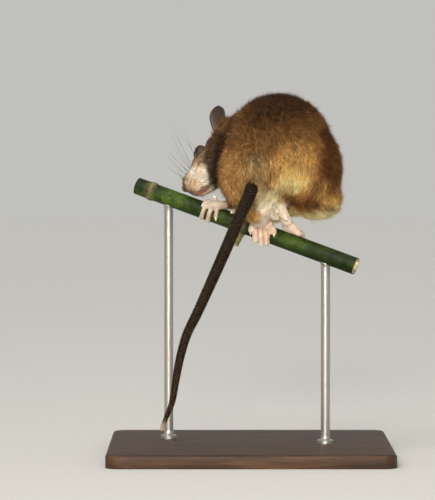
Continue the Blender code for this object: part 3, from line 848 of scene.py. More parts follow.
@dataclass(frozen=True)
class ShadeBand:
    """A soft-edged line of painted shade over the side that is seen from behind, given by its X and Z."""

    line: tuple
    width: float
    colour: str
    strength: float
    far: float = 14.0

    def cover(self, points: np.ndarray) -> np.ndarray:
        """How strongly the band tints each place, from 0 to its strength.

        Args:
            points: Places in the row frame.

        Returns:
            One number a place.
        """
        spots = points[:, [0, 2]]
        nearest = np.full(len(points), np.inf)
        for start, end in zip(self.line, self.line[1:]):
            start, end = np.array(start), np.array(end)
            way = end - start
            part = np.clip(((spots - start) @ way) / (way @ way), 0, 1)
            nearest = np.minimum(nearest, np.linalg.norm(spots - start - part[:, None] * way, axis=1))
        seen = ease(points[:, 1], self.far, self.far - 5)
        return self.strength * (1 - ease(nearest, 0.4 * self.width, 1.5 * self.width)) * seen


@dataclass
class Markings:
    """The animal's colours, as soft patches laid over a base that darkens up the back, partly as painted
    shade; some patches and bands are painted shade and a painted highlight.
    """

    head: HeadPlace
    stem: Stem
    mid_back: str = "8E6230"
    # Darker fur at the top of the back, deepened with painted shade.
    crown_and_shade: str = "2A1706"
    under: str = "D2B97E"
    face: str = "64492D"
    # Painted shade over the back of the head, on the side that is seen from behind.
    nape: str = "3F2C1A"
    eye_rim: str = "24150F"
    sole: str = "CFC2B0"
    knuckle: str = "BC9A86"
    toe_fold: str = "7A4A3E"
    lip: str = "6A3F3A"
    bands: tuple = (
        # Painted shade: the dark reddish shadow in the fold between the right thigh and the flank, its
        # weaker lower end, and the shadow under the thigh.
        ShadeBand(((31.8, 142.0), (32.0, 133.0), (31.8, 127.0)), 2.7, "45240B", 0.82),
        ShadeBand(((31.8, 127.0), (29.0, 119.5), (25.0, 113.5)), 1.6, "6A3E1C", 0.5),
        ShadeBand(((25.0, 113.0), (18.0, 112.0)), 2.2, "55300F", 0.7),
        # The shade where the body's ball overlaps the back of the head.
        ShadeBand(
            ((-8.0, 145.0), (-10.0, 141.2), (-12.4, 138.2), (-13.8, 134.6))
            + ((-15.6, 131.0), (-16.6, 127.6), (-16.2, 121.0), (-14.6, 116.6)),
            2.3, "2A190A", 0.85,
        ),
    )
    # How far right the head reaches before the painted shade of the nape begins, at heights from below
    # upwards.
    nape_shade_heights: tuple = (117.5, 122.3, 129.0, 134.6, 140.0, 144.3)
    nape_shade_edges: tuple = (-16.9, -19.3, -21.7, -20.8, -18.0, -16.2)
    body_patches: tuple = (
        # Painted shade along the body's left edge, next to the head.
        Patch((-16.0, -2.0, 130.0), (6.5, 13.0, 22.0), "3A2511", 0.95),
        Patch((-8.5, -18.0, 124.0), (8.5, 10.0, 14.0), "AE8650", 0.9),
        Patch((-8.5, -7.0, 139.5), (5.5, 11.0, 7.0), "694624", 0.8),
        Patch((-8.0, -16.0, 111.5), (6.5, 9.0, 6.5), "BC9054", 0.8),
        Patch((3.0, -24.0, 127.0), (6.5, 9.0, 11.0), "9C845A", 0.8),
        Patch((8.0, -20.0, 138.0), (7.0, 8.0, 6.0), "6C4E2A", 0.6),
        Patch((18.0, -24.0, 131.0), (12.0, 9.0, 11.0), "BC9052", 0.85),
        # A painted highlight on the right thigh, where it faces the light.
        Patch((19.0, -25.0, 122.0), (10.0, 9.0, 7.0), "EEC47C", 0.88),
        Patch((17.0, -25.0, 120.5), (7.5, 7.0, 4.8), "FFE09C", 0.9),
        # Painted shade on the right flank, where the body turns away from the light, and on its upper edge,
        # where the fur is also darker.
        Patch((36.5, -9.0, 132.0), (8.0, 16.0, 16.0), "4A2D12", 0.92),
        Patch((35.0, -7.0, 145.0), (6.5, 14.0, 10.0), "34200C", 0.9),
        Patch((30.5, -12.0, 119.5), (3.8, 8.0, 4.8), "B4894E", 0.85),
        # Painted shade under the right thigh.
        Patch((25.5, -16.0, 115.6), (6.0, 8.0, 2.6), "A06A36", 0.8),
        Patch((24.0, -18.0, 111.4), (8.0, 8.0, 3.2), "5E3718", 0.9),
        Patch((35.0, -5.0, 110.0), (9.0, 14.0, 6.5), "C49E5A", 0.9),
        Patch((31.0, -3.0, 105.5), (13.0, 14.0, 5.5), "FCE0A0", 0.95),
        Patch((8.0, -19.0, 112.5), (8.5, 10.0, 8.0), "ECD9A8", 0.9),
        Patch((9.5, -16.0, 108.0), (7.0, 9.0, 5.5), "FFF2D6", 0.95),
        Patch((1.0, -13.0, 105.5), (4.5, 8.0, 5.0), "C48C48", 0.9),
        Patch((-1.0, -24.5, 118.0), (3.0, 4.0, 3.2), "4E3822", 0.7),
    )
    # In the head's own frame, the same on both sides.
    head_patches: tuple = (
        Patch((-21.0, 8.5, -2.0), (8.0, 6.0, 5.0), "7A6550", 0.9),
        Patch((-13.5, 6.0, -8.5), (7.5, 6.0, 5.8), "F6EAD2", 1.0),
        Patch((-10.0, 7.0, -4.5), (6.5, 5.0, 4.5), "DCC5A4", 0.9),
        Patch((-9.8, 6.5, -7.4), (5.0, 3.8, 3.6), "FFDDB8", 0.95),
        Patch((-10.0, 6.8, -5.8), (3.6, 3.0, 4.2), "F4ECDC", 0.65),
        Patch((-11.6, 3.6, -9.6), (3.2, 3.6, 2.6), "F4ECDC", 0.65),
        # Painted shade on the cheek under the eye, on both sides.
        Patch((-17.0, 7.8, -2.8), (6.0, 3.5, 4.6), "84684F", 0.9),
        Patch((-8.0, 0.0, 3.2), (8.5, 4.2, 3.6), "5C4430", 0.8),
        Patch((-5.5, 3.0, -7.5), (4.6, 4.6, 4.2), "E6C8A8", 0.9),
        Patch((-6.4, 0.0, -10.0), (4.0, 1.9, 2.3), "9A6C62", 0.9),
        Patch((-3.6, 0.0, -7.2), (2.6, 2.8, 2.8), "8E6454", 0.85),
        Patch((-1.2, 0.0, -1.0), (2.9, 3.2, 2.9), "6C5048", 1.0),
    )

    def colour(self, points: np.ndarray, face: np.ndarray, bare: np.ndarray) -> np.ndarray:
        """The colour of the coat, or of the skin where it is bare.

        Args:
            points: Places in the row frame.
            face: How far each belongs to the head, from 0 to 1.
            bare: How far each belongs to a hand or foot.

        Returns:
            A linear colour a place.
        """
        high, count = points[:, 2], len(points)
        # The base darkens up the back: darker fur, deepened with painted shade towards the top.
        body = mixed(flat(self.mid_back, count), self.crown_and_shade, ease(high, 129.5, 158.0))
        body = mixed(body, self.under, 0.9 * ease(high, 112.5, 107.5))
        for patch in self.body_patches:
            body = mixed(body, patch.colour, patch.cover(points))

        inner = self.head.folded(self.head.inward(points))
        head = flat(self.face, count)
        for patch in self.head_patches:
            head = mixed(head, patch.colour, patch.cover(inner))
        # Painted shade on the nape, laid only on the side that is seen from behind.
        edge = np.interp(high, self.nape_shade_heights, self.nape_shade_edges)
        behind = ease(points[:, 0] - edge, -0.8, 1.6) * ease(high, 110.0, 116.0)
        head = mixed(head, self.nape, 0.95 * behind * ease(points[:, 1], 19.0, 13.0))
        rim = 1 - ease(self.head.from_eyes(inner), 3.05, 3.6)
        head = mixed(head, self.eye_rim, 0.9 * rim)
        head = mixed(head, self.eye_rim, 0.85 * self.head.nostril_cover(inner))
        head = mixed(head, self.lip, 0.85 * self.head.lip_cover(inner, 0.5))
        body = mixed(body, head, face)
        for band in self.bands:
            body = mixed(body, band.colour, band.cover(points))

        blotches = np.clip(0.35 + 0.5 * mottle(points, 2.5, 3), 0, 1)
        pink = mixed(flat(self.sole, count), self.knuckle, blotches)
        pink = mixed(pink, self.toe_fold, 0.6 * self.stem.toe_seams(points))
        # Painted shade: the hands, which face the lamps, are darkened a little below the feet.
        pink = pink * (1 - 0.36 * ease(points[:, 0], -5.0, -10.0))[:, None]
        return mixed(body, pink, bare)


@dataclass
class Skin:
    """One closed skin in place of every flesh node, pushed in by the coat's depth."""

    head: HeadPlace
    stem: Stem
    markings: Markings
    voxel: float = 0.32
    triangles: int = 118000
    # How far the solids are grown before they are fused, which closes the gaps between them.
    grown: float = 0.22
    grown_foreleg: float = 0.5
    grown_body: float = 1.3
    # The coat's depth over the body, the forelegs, the back of the head, the cheeks and the muzzle.
    depth_body: float = 2.9
    depth_foreleg: float = 1.1
    depth_nape: float = 2.2
    depth_cheek: float = 0.7
    depth_muzzle: float = 0.25
    lid_tube: float = 0.5
    lid_reach: float = 2.15
    # How far back from the nose tip the triangles are split, once for each number.
    fine_reaches: tuple = (9.5, 3.6)
    nostril_depth: float = 0.6
    tail_root: tuple = (0.5, -22.5, 119.0)
    seam_depth: float = 0.55

    def build(self, nodes: dict) -> None:
        """Fuse the flesh nodes and work out what the coat needs to know at each corner.

        Args:
            nodes: The frame's nodes by name.
        """
        solids = {name: self.solid(nodes[name]) for name in FLESH}
        corners, faces = self.fuse(solids)
        self.trees = self.search_trees(solids)
        corners, faces = self.settled(corners, faces)
        for reach in self.fine_reaches:
            corners, faces = self.finer(corners, faces, reach)
        face, bare, foreleg = self.shares(corners)
        normals = self.corner_normals(corners, faces)
        grown, depth = self.sunk_by(corners, face, bare, foreleg)
        corners = corners - normals * (grown + depth)[:, None]
        corners = self.relaxed(corners, faces, 0.3 * (1 - bare), 3)
        # The tail's root is smoothed until it leaves no stump under the coat.
        calm = 0.5 * (1 - ease(np.linalg.norm(corners - self.tail_root, axis=1), 7.0, 12.0))
        corners = self.relaxed(corners, faces, calm, 80)
        corners = self.carved(corners, faces, face)
        self.corners, self.faces = corners, faces
        self.normals = self.corner_normals(corners, faces)
        self.face, self.bare, self.foreleg = face, bare, foreleg
        LOG.info("skin: %d triangles", len(faces))

    def solid(self, node: bpy.types.Object) -> tuple:
        """A node's corners in millimetres and its triangles, with split corners joined again."""
        bm = bmesh.new()
        bm.from_mesh(node.data)
        bmesh.ops.remove_doubles(bm, verts=bm.verts, dist=1e-6)
        bmesh.ops.triangulate(bm, faces=bm.faces)
        bm.verts.ensure_lookup_table()
        corners = np.array([v.co for v in bm.verts]) / MM
        faces = np.array([[v.index for v in f.verts] for f in bm.faces])
        bm.free()
        return corners, faces

    def search_trees(self, solids: dict) -> dict:
        """Search trees over the head, the bare hands and feet, the forelegs and the rest."""
        groups = {
            "head": ("head",),
            "bare": BARE,
            "foreleg": FORELEGS,
            "body": [n for n in FLESH if n not in ("head", *BARE, *FORELEGS)],
        }
        trees = {}
        for group, names in groups.items():
            whole = joined([Arrays(*solids[name]) for name in names])
            trees[group] = BVHTree.FromPolygons(whole.corners.tolist(), whole.faces.tolist())
        return trees

    def shares(self, points: np.ndarray) -> tuple:
        """How far each place belongs to the head, to bare hands and feet, and to the forelegs.

        Args:
            points: Places near the skin.

        Returns:
            Three arrays of numbers from 0 to 1.
        """
        away, spots = {}, points.tolist()
        for group, tree in self.trees.items():
            away[group] = np.array([tree.find_nearest(p)[3] for p in spots])
        face = ease(np.minimum(away["body"], away["foreleg"]) - away["head"], -1.5, 1.5)
        furred = np.minimum.reduce([away["body"], away["foreleg"], away["head"]])
        bare = ease(furred - away["bare"], -0.4, 0.8)
        foreleg = ease(away["body"] - away["foreleg"], -1.0, 1.0) * (1 - bare) * (1 - face)
        return face, bare, foreleg

    def fuse(self, solids: dict) -> tuple:
        """Grow the solids a little and fuse them with the lids into one voxel surface."""
        parts = []
        for name, (corners, faces) in solids.items():
            if name == "head":
                grow = self.head_grow(corners)
            else:
                lone = dict.fromkeys(BARE, self.grown) | dict.fromkeys(FORELEGS, self.grown_foreleg)
                grow = np.full(len(corners), lone.get(name, self.grown_body))
            parts.append(Arrays(corners + self.corner_normals(corners, faces) * grow[:, None], faces))
        whole = joined(parts).mesh("flesh")
        lids = joined([self.lid(1), self.lid(-1)]).mesh("lids")
        bm = bmesh.new()
        bm.from_mesh(whole)
        bm.from_mesh(lids)
        bmesh.ops.triangulate(bm, faces=bm.faces)
        bm.to_mesh(whole)
        bm.free()
        return self.read(self.modified(whole, self.voxels))

    def head_grow(self, points: np.ndarray) -> np.ndarray:
        """How far the head's solid is grown at each place, more towards its back."""
        back = ease(self.head.inward(points)[:, 0], -24.0, -34.0)
        return self.grown + (self.grown_body - self.grown) * back

    def lid(self, side: int) -> Arrays:
        """A rolled rim round one eye, longer than it is high."""
        look = self.head.eye_look(side)
        long = unit(np.array([1.0, 0, 0]) - look * look[0])
        high = np.cross(look, long)
        path = []
        for turn in np.linspace(0, 2 * math.pi, 33):
            arm = long * (self.lid_reach * math.cos(turn)) + high * (self.lid_reach * 0.88 * math.sin(turn))
            rise = math.sqrt(max((self.head.eye_radius + 0.12) ** 2 - arm @ arm, 0.3))
            path.append(self.head.eye_middle(side) + arm + look * rise)
        places = self.head.outward(np.array(path))
        return tube(places, np.full(len(places), self.lid_tube), 8)

    def voxels(self, worker: bpy.types.Object) -> None:
        """Add the modifier that fuses closed forms."""
        fuse = worker.modifiers.new("fuse", "REMESH")
        fuse.mode = "VOXEL"
        fuse.voxel_size = self.voxel

    def settled(self, corners: np.ndarray, faces: np.ndarray) -> tuple:
        """Relax the voxel surface, most over the body, and thin it out where it is plain.

        Args:
            corners: The surface's corners.
            faces: Its faces.

        Returns:
            The new corners and triangles.
        """
        face, bare, _ = self.shares(corners)
        front = face * ease(self.head.inward(corners)[:, 0], -32.0, -24.0)
        fine = np.maximum(front, bare)
        calm = 0.5 * (1 - 0.4 * fine)
        corners = self.relaxed(corners, faces, calm, 3)
        corners = self.relaxed(corners, faces, calm * (1 - fine), 21)
        mesh = Arrays(corners, faces).mesh("relaxed")

        def thin_out(worker: bpy.types.Object) -> None:
            """Thin out the plain body more than the face, hands and feet."""
            group = worker.vertex_groups.new(name="plain")
            for level in range(11):
                picked = np.nonzero(np.round((1 - fine) * 10).astype(int) == level)[0]
                if level and len(picked):
                    group.add(picked.tolist(), level / 10, "REPLACE")
            sparse = worker.modifiers.new("thin out", "DECIMATE")
            sparse.ratio = min(1.0, self.triangles / (len(faces) * (faces.shape[1] - 2)))
            sparse.vertex_group = "plain"
            sparse.vertex_group_factor = 1.0
            sparse.use_collapse_triangulate = True

        return self.read(self.modified(mesh, thin_out))

    def finer(self, corners: np.ndarray, faces: np.ndarray, reach: float) -> tuple:
        """Split the muzzle's triangles once more, and round them off.

        Args:
            corners: The skin's corners.
            faces: Its triangles.
            reach: How far back from the nose tip they are split.

        Returns:
            The new corners and triangles.
        """
        inner = self.head.inward(corners)
        near = (inner[:, 0] > -reach) & (np.linalg.norm(inner[:, 1:] + [0, 1.5], axis=1) < 9.5)
        picked = np.nonzero(near)[0]
        face = self.shares(corners[picked])[0]
        near[picked] = face > 0.6
        bm = bmesh.new()
        bm.from_mesh(Arrays(corners, faces).mesh("muzzle"))
        edges = [e for e in bm.edges if near[e.verts[0].index] and near[e.verts[1].index]]
        bmesh.ops.subdivide_edges(bm, edges=edges, cuts=1, use_grid_fill=True)
        bmesh.ops.triangulate(bm, faces=bm.faces)
        split = bpy.data.meshes.new("split")
        bm.to_mesh(split)
        bm.free()
        corners, faces = self.read(split)
        inside = (self.head.inward(corners)[:, 0] > -reach).astype(float)
        return self.relaxed(corners, faces, 0.4 * inside, 2), faces

    def carved(self, corners: np.ndarray, faces: np.ndarray, face: np.ndarray) -> np.ndarray:
        """Sink the nostrils, the split of the lip and the mouth line into the muzzle.

        Args:
            corners: The skin's corners.
            faces: Its triangles.
            face: How far each corner belongs to the head.

        Returns:
            The corners, moved.
        """
        inner = self.head.inward(corners)
        level = np.linalg.norm(np.stack([inner[:, 0] + 0.9, inner[:, 2] + 1.0], axis=1), axis=1)
        level = 0.5 * (1 - ease(level, 1.5, 2.4)) * (1 - ease(np.abs(inner[:, 1]), 2.8, 3.4))
        corners = self.relaxed(corners, faces, level, 25)
        inner = self.head.inward(corners)
        sunk = 0.3 * self.head.lip_cover(inner, 0.4)
        sunk += self.nostril_depth * self.head.nostril_cover(inner)
        split = (1 - ease(np.abs(inner[:, 1]), 0.1, 0.38)) * ease(inner[:, 2], -6.3, -5.6)
        split *= (1 - ease(inner[:, 2], -1.9, -1.3)) * ease(inner[:, 0], -4.0, -3.0)
        sunk += 0.28 * split
        sunk = sunk * face + self.seam_depth * self.stem.toe_seams(corners)
        return corners - self.corner_normals(corners, faces) * sunk[:, None]

    @staticmethod
    def modified(mesh: bpy.types.Mesh, settle: Callable) -> bpy.types.Mesh:
        """Run modifiers on a mesh: settle(object) adds them, and the result is a new mesh."""
        worker = bpy.data.objects.new("worker", mesh)
        bpy.context.scene.collection.objects.link(worker)
        settle(worker)
        graph = bpy.context.evaluated_depsgraph_get()
        graph.update()
        result = bpy.data.meshes.new_from_object(worker.evaluated_get(graph))
        bpy.data.objects.remove(worker, do_unlink=True)
        return result

    @staticmethod
    def read(mesh: bpy.types.Mesh) -> tuple:
        """A mesh's corners and its triangles as arrays."""
        mesh.calc_loop_triangles()
        corners = np.empty(len(mesh.vertices) * 3, np.float32)
        mesh.vertices.foreach_get("co", corners)
        faces = np.empty(len(mesh.loop_triangles) * 3, np.int32)
        mesh.loop_triangles.foreach_get("vertices", faces)
        return corners.reshape(-1, 3).astype(float), faces.reshape(-1, 3)

    @staticmethod
    def relaxed(corners: np.ndarray, faces: np.ndarray, strength: np.ndarray, times: int) -> np.ndarray:
        """Move each corner towards the mean of its neighbours, again and again.

        Args:
            corners: The mesh's corners.
            faces: Its faces.
            strength: The share of the way that each corner goes.
            times: How often it is done.

        Returns:
            The corners, moved.
        """
        count = len(corners)
        start, end = faces.ravel(), np.roll(faces, -1, axis=1).ravel()
        number = np.bincount(start, minlength=count) + np.bincount(end, minlength=count)
        for _ in range(times):
            total = np.empty_like(corners)
            for axis in range(3):
                total[:, axis] = np.bincount(start, corners[end, axis], count)
                total[:, axis] += np.bincount(end, corners[start, axis], count)
            corners = corners + (total / np.maximum(number, 1)[:, None] - corners) * strength[:, None]
        return corners

    @staticmethod
    def corner_normals(corners: np.ndarray, faces: np.ndarray) -> np.ndarray:
        """Smooth outward normals at the corners."""
        a, b, c = (corners[faces[:, k]] for k in range(3))
        across = np.cross(b - a, c - a)
        normals = np.empty_like(corners)
        for axis in range(3):
            normals[:, axis] = sum(
                np.bincount(faces[:, k], across[:, axis], len(corners)) for k in range(3)
            )
        return unit(normals)

    def sunk_by(self, points: np.ndarray, face: np.ndarray, bare: np.ndarray, foreleg: np.ndarray) -> tuple:
        """How far the solids were grown at each place, and how deep the coat is there.

        Args:
            points: Places on the skin.
            face: How far each belongs to the head.
            bare: How far each belongs to bare hands and feet.
            foreleg: How far each belongs to the forelegs.

        Returns:
            Both depths.
        """
        ahead = self.head.inward(points)[:, 0]
        head = self.depth_muzzle + (self.depth_cheek - self.depth_muzzle) * ease(ahead, -9.0, -20.0)
        head = head + (self.depth_nape - self.depth_cheek) * ease(ahead, -22.0, -34.0)
        grow = self.grown_body * (1 - foreleg) + self.grown_foreleg * foreleg
        body = self.depth_body * (1 - foreleg) + self.depth_foreleg * foreleg
        grow = grow * (1 - face) + self.head_grow(points) * face
        return grow * (1 - bare), (body * (1 - face) + head * face) * (1 - bare)

    def dress(self, finish: SkinFinish) -> bpy.types.Object:
        """Make the shown skin with its colours and its unwrap.

        Args:
            finish: The skin's finish.

        Returns:
            The skin.
        """
        colours = self.markings.colour(self.corners, self.face, self.bare)
        # Under the coat the skin carries the same markings, as dark as the roots of the hair.
        furred = (1 - self.bare) * (1 - self.naked())
        colours = colours * (1 - 0.6 * furred)[:, None]
        piece = Arrays(self.corners, self.faces, colours).piece("skin", Slot.BARE_SKIN, finish.material())
        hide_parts(*FLESH)
        self.unwrap(piece)
        return piece

    def naked(self) -> np.ndarray:
        """Where on the head the skin is bare: the nose and the rims of the eyes and lips."""
        inner = self.head.inward(self.corners)
        nose = 1 - ease(np.linalg.norm((inner - [-0.9, 0, -1.0]) / [2.2, 2.8, 2.4], axis=1), 0.85, 1.15)
        rims = 1 - ease(self.head.from_eyes(inner), 3.1, 3.5)
        lips = self.head.lip_cover(inner, 0.42)
        return np.clip(nose + rims + lips, 0, 1) * self.face

    def unwrap(self, piece: bpy.types.Object) -> None:
        """Unwrap the skin onto its own map and keep each triangle's three places there."""
        piece.data.uv_layers.new(name="OFBake")
        bpy.context.view_layer.objects.active = piece
        piece.select_set(True)
        bpy.ops.object.mode_set(mode="EDIT")
        bpy.ops.mesh.select_all(action="SELECT")
        bpy.ops.uv.smart_project(angle_limit=math.radians(70), island_margin=0.001)
        bpy.ops.object.mode_set(mode="OBJECT")
        piece.select_set(False)
        places = np.empty(len(self.faces) * 6, np.float32)
        piece.data.uv_layers["OFBake"].uv.foreach_get("vector", places)
        self.uv = places.reshape(-1, 3, 2)


@dataclass(frozen=True)
class Layer:
    """One layer of the coat: tufts a square millimetre over body, face and feet, and their build."""

    body: float
    face: float
    foot: float
    longer: float
    wider: float
    bent: bool


@dataclass(frozen=True)
class Lie:
    """How the hair of a region grows: its shortest and longest tuft, its rise and its half width."""

    short: float
    long: float
    rise: float
    width: float


@dataclass
class Coat:
    """Hair over the skin: thin tufts that overlap and lie along the body, a soft layer and a ticked one."""

    skin: Skin
    head: HeadPlace
    markings: Markings
    stem: Stem
    tail_end: tuple = (-3.5, -31.0, 106.0)
    head_middle: tuple = (-20.0, 14.0, 131.0)
    layers: tuple = (
        Layer(19.0, 30.0, 5.0, 0.86, 0.95, False),
        Layer(4.4, 4.5, 0.0, 1.08, 1.0, True),
    )
    body: Lie = Lie(4.0, 5.1, 0.62, 0.095)
    fringe: Lie = Lie(5.2, 7.0, 0.5, 0.1)
    groin: Lie = Lie(2.8, 4.2, 0.5, 0.085)
    foreleg: Lie = Lie(2.2, 3.0, 0.4, 0.075)
    nape: Lie = Lie(3.4, 4.6, 0.46, 0.09)
    cheek: Lie = Lie(1.8, 2.7, 0.34, 0.062)
    muzzle: Lie = Lie(0.9, 1.5, 0.34, 0.045)
    foot: Lie = Lie(0.45, 0.8, 0.2, 0.026)
    tail_root: Lie = Lie(4.2, 5.4, 0.42, 0.09)
    # The hair wanders from its way in waves of two sizes in mm, each by its own amount.
    waves: tuple = ((2.2, 0.12, (31, 32, 33)), (0.8, 0.17, (34, 35, 36)))
    heading_spread: float = 0.14
    swerve_spread: float = 0.1
    root_sunk: float = 0.25
    # A few tufts stray upwards, and a few longer, thinner and darker ones are guard hairs.
    stray_share: float = 0.05
    stray_rise: float = 1.35
    guard_share: float = 0.1
    guard_length: float = 1.18
    guard_width: float = 0.6
    # The grain of the tone in mm and its strength, then that of the bunches of pale and dark tips.
    grain: tuple = (0.6, 0.56)
    bunches: tuple = (0.5, 0.4)
    tick_hex: str = "E2CEA6"
    piece_triangles: int = 196000
    # The width of each tuft's patch on the map OFBake.
    patch: float = 0.003
    # How far the coat stays off the bare rim of an eye, from the eye's middle.
    eye_clear: float = 3.3

    def roots(self, layer: Layer, rng: np.random.Generator) -> dict:
        """Draw one layer's roots over the skin, with what the skin is like at each.

        Args:
            layer: The layer.
            rng: The random draw.

        Returns:
            Arrays by name: place, normal, face, bare, foreleg and the root's place on the unwrap.
        """
        skin = self.skin
        a, b, c = (skin.corners[skin.faces[:, k]] for k in range(3))
        area = np.linalg.norm(np.cross(b - a, c - a), axis=1) / 2
        face, bare = (share[skin.faces].mean(axis=1) for share in (skin.face, skin.bare))
        density = layer.body * (1 - face) + layer.face * face
        density = density * (1 - bare) + layer.foot * bare
        density *= 1 - skin.naked()[skin.faces].mean(axis=1)
        count = rng.poisson(area * density)
        picked = np.repeat(np.arange(len(skin.faces)), count)
        u, v = rng.random((2, len(picked)))
        swap = u + v > 1
        u[swap], v[swap] = 1 - u[swap], 1 - v[swap]
        weights = np.stack([1 - u - v, u, v], axis=1)
        corners = skin.faces[picked]

        def at(values: np.ndarray) -> np.ndarray:
            """Values of the skin's corners at the roots."""
            if values.ndim == 1:
                return (values[corners] * weights).sum(axis=1)
            return (values[corners] * weights[:, :, None]).sum(axis=1)

        root = {
            "place": at(skin.corners),
            "normal": unit(at(skin.normals)),
            "face": at(skin.face),
            "bare": at(skin.bare),
            "foreleg": at(skin.foreleg),
            "uv": (skin.uv[picked] * weights[:, :, None]).sum(axis=1),
        }
        keep = self.head.from_eyes(self.head.inward(root["place"])) > self.eye_clear
        return {name: values[keep] for name, values in root.items()}

    def flow(self, root: dict) -> np.ndarray:
        """The way the hair lies at each root, along the skin.

        Args:
            root: The roots' arrays.

        Returns:
            Unit vectors along the surface.
        """
        place = root["place"]
        away = place - np.array(self.head_middle)
        back = np.array(self.tail_end) - place
        far, near = (np.linalg.norm(v, axis=1, keepdims=True) for v in (away, back))
        way = unit(away) / (far / 25 + 0.35) + unit(back) / (near / 26 + 0.35)
        belly = self.fringe_share(place)
        way = way * (1 - 0.85 * belly)[:, None] + belly[:, None] * np.array([0.75, -0.25, -0.6])
        way[:, 2] -= 0.25
        leg = root["foreleg"][:, None]
        way = way * (1 - leg) + np.array([-0.85, -0.5, -0.1]) * leg
        backwards = -self.head.axes[0] - 0.25 * self.head.axes[2]
        face = root["face"][:, None]
        way = way * (1 - face) + backwards * face
        toes = self.stem.place(place[:, 0]) - place
        bare = root["bare"][:, None]
        way = way * (1 - bare) + (unit(toes) + [0, -0.4, -0.4]) * bare
        wander = 0
        for size, amount, seeds in self.waves:
            wander = wander + amount * np.stack([mottle(place, size, seed) for seed in seeds], axis=1)
        loose = (1 - bare) * (1 - 0.7 * self.tail_share(place))[:, None]
        way = unit(way) + loose * wander
        normal = root["normal"]
        way = way - normal * (way * normal).sum(axis=1, keepdims=True)
        return unit(way)

    @staticmethod
    def fringe_share(place: np.ndarray) -> np.ndarray:
        """How far each place belongs to the belly's fringe, low on the right."""
        return ease(place[:, 2], 119.0, 110.0) * ease(place[:, 0], 14.0, 25.0)

    @staticmethod
    def groin_share(place: np.ndarray) -> np.ndarray:
        """How far each place belongs to the thin fur between the legs."""
        return ease(place[:, 2], 121.0, 114.0) * ease(place[:, 0], 22.0, 15.0)

    @staticmethod
    def tail_share(place: np.ndarray) -> np.ndarray:
        """How far each place belongs to the hair that runs out onto the tail."""
        return 1 - ease(np.linalg.norm(place - [0.0, -23.0, 118.5], axis=1), 6.0, 11.0)

    def lies(self, root: dict, rng: np.random.Generator) -> tuple:
        """Length, rise and half width of each tuft, blended between the regions.

        Args:
            root: The roots' arrays.
            rng: The random draw.

        Returns:
            Three arrays.
        """
        place = root["place"]
        ahead = self.head.inward(place)[:, 0]
        spread = rng.random(len(place))

        def values(lie: Lie) -> np.ndarray:
            """One region's length, rise and width at every tuft."""
            length = lie.short + (lie.long - lie.short) * spread
            return np.stack([length, np.full(len(place), lie.rise), np.full(len(place), lie.width)])

        made = values(self.body)
        face = values(self.cheek)
        short, nape = ease(ahead, -18.0, -8.0), ease(ahead, -24.0, -33.0)
        face = face * (1 - short) + values(self.muzzle) * short
        face = face * (1 - nape) + values(self.nape) * nape
        for lie, share in (
            (self.fringe, self.fringe_share(place)),
            (self.groin, self.groin_share(place)),
            (self.tail_root, self.tail_share(place)),
            (self.foreleg, root["foreleg"]),
        ):
            made = made * (1 - share) + values(lie) * share
        made = made * (1 - root["face"]) + face * root["face"]
        return tuple(made * (1 - root["bare"]) + values(self.foot) * root["bare"])

    def grow(self) -> list:
        """Grow the whole coat.

        Returns:
            The Arrays of its tufts, each small enough for one piece.
        """
        rng = np.random.default_rng(SEED)
        parts = []
        for layer in self.layers:
            root = self.roots(layer, rng)
            place = root["place"]
            count = len(place)
            way = self.flow(root)
            length, rise, width = self.lies(root, rng)
            length = length * layer.longer
            width = width * layer.wider * rng.uniform(0.75, 1.25, count)
            rise = rise * rng.uniform(0.72, 1.28, count)
            shaggy = root["face"] + root["bare"] < 0.5
            stray = (rng.random(count) < self.stray_share) & shaggy
            rise = np.where(stray, rise * self.stray_rise, rise)
            guard = (rng.random(count) < self.guard_share) & shaggy & layer.bent
            length = np.where(guard, length * self.guard_length, length)
            width = np.where(guard, width * self.guard_width, width)
            root["way"], root["length"], root["rise"], root["width"] = way, length, rise, width
            root["colour"] = self.bands(root, guard, rng)
            tip = place + way * (length * 0.9)[:, None]
            clear = (self.stem.off(tip) > self.stem.radius + 0.3) | (root["bare"] > 0.5)
            root = {name: values[clear] for name, values in root.items()}
            LOG.info("coat layer: %d tufts", len(root["place"]))
            parts += self.tufts(root, layer.bent, rng)
        return parts

    def bands(self, root: dict, guard: np.ndarray, rng: np.random.Generator) -> np.ndarray:
        """Each tuft's colour at its root, its middle and its tip.

        Args:
            root: The roots' arrays.
            guard: Which tufts are long dark guard hairs.
            rng: The random draw.

        Returns:
            An array of three linear colours a tuft.
        """
        place = root["place"]
        base = self.markings.colour(place, root["face"], root["bare"])
        pale = ease(base.mean(axis=1), 0.3, 0.6)
        count = len(place)
        size, strength = self.grain
        tone = np.exp(strength * mottle(place, size, 12) + 0.12 * mottle(place, 3.5, 11))
        tone *= np.exp(rng.normal(0, 0.34, count))
        # Ticks and dark tips come in little bunches, as the hairs do.
        size, strength = self.bunches
        kind = rng.random(count) + strength * mottle(place, size, 13)
        dark = kind < 0.24 * (1 - pale)
        light = kind > 0.8 + 0.18 * pale
        low = base * (0.52 + 0.36 * pale)[:, None]
        mid = base * (0.9 * tone)[:, None]
        tip = base * (1.15 * tone)[:, None]
        tip = np.where(dark[:, None], base * 0.3, tip)
        bright = ease(base.mean(axis=1), 0.015, 0.11)
        tick = base * (2.4 - 0.85 * bright)[:, None]
        tick = tick + linear(self.tick_hex) * (0.036 + 0.204 * bright)[:, None]
        tip = np.where(light[:, None], tick * (0.4 + 0.6 * tone)[:, None], tip)
        mid = np.where(guard[:, None], base * 0.4, mid)
        tip = np.where(guard[:, None] & (pale < 0.5)[:, None], base * 0.28, tip)
        return np.clip(np.stack([low, mid, tip], axis=1), 0.002, 0.95)

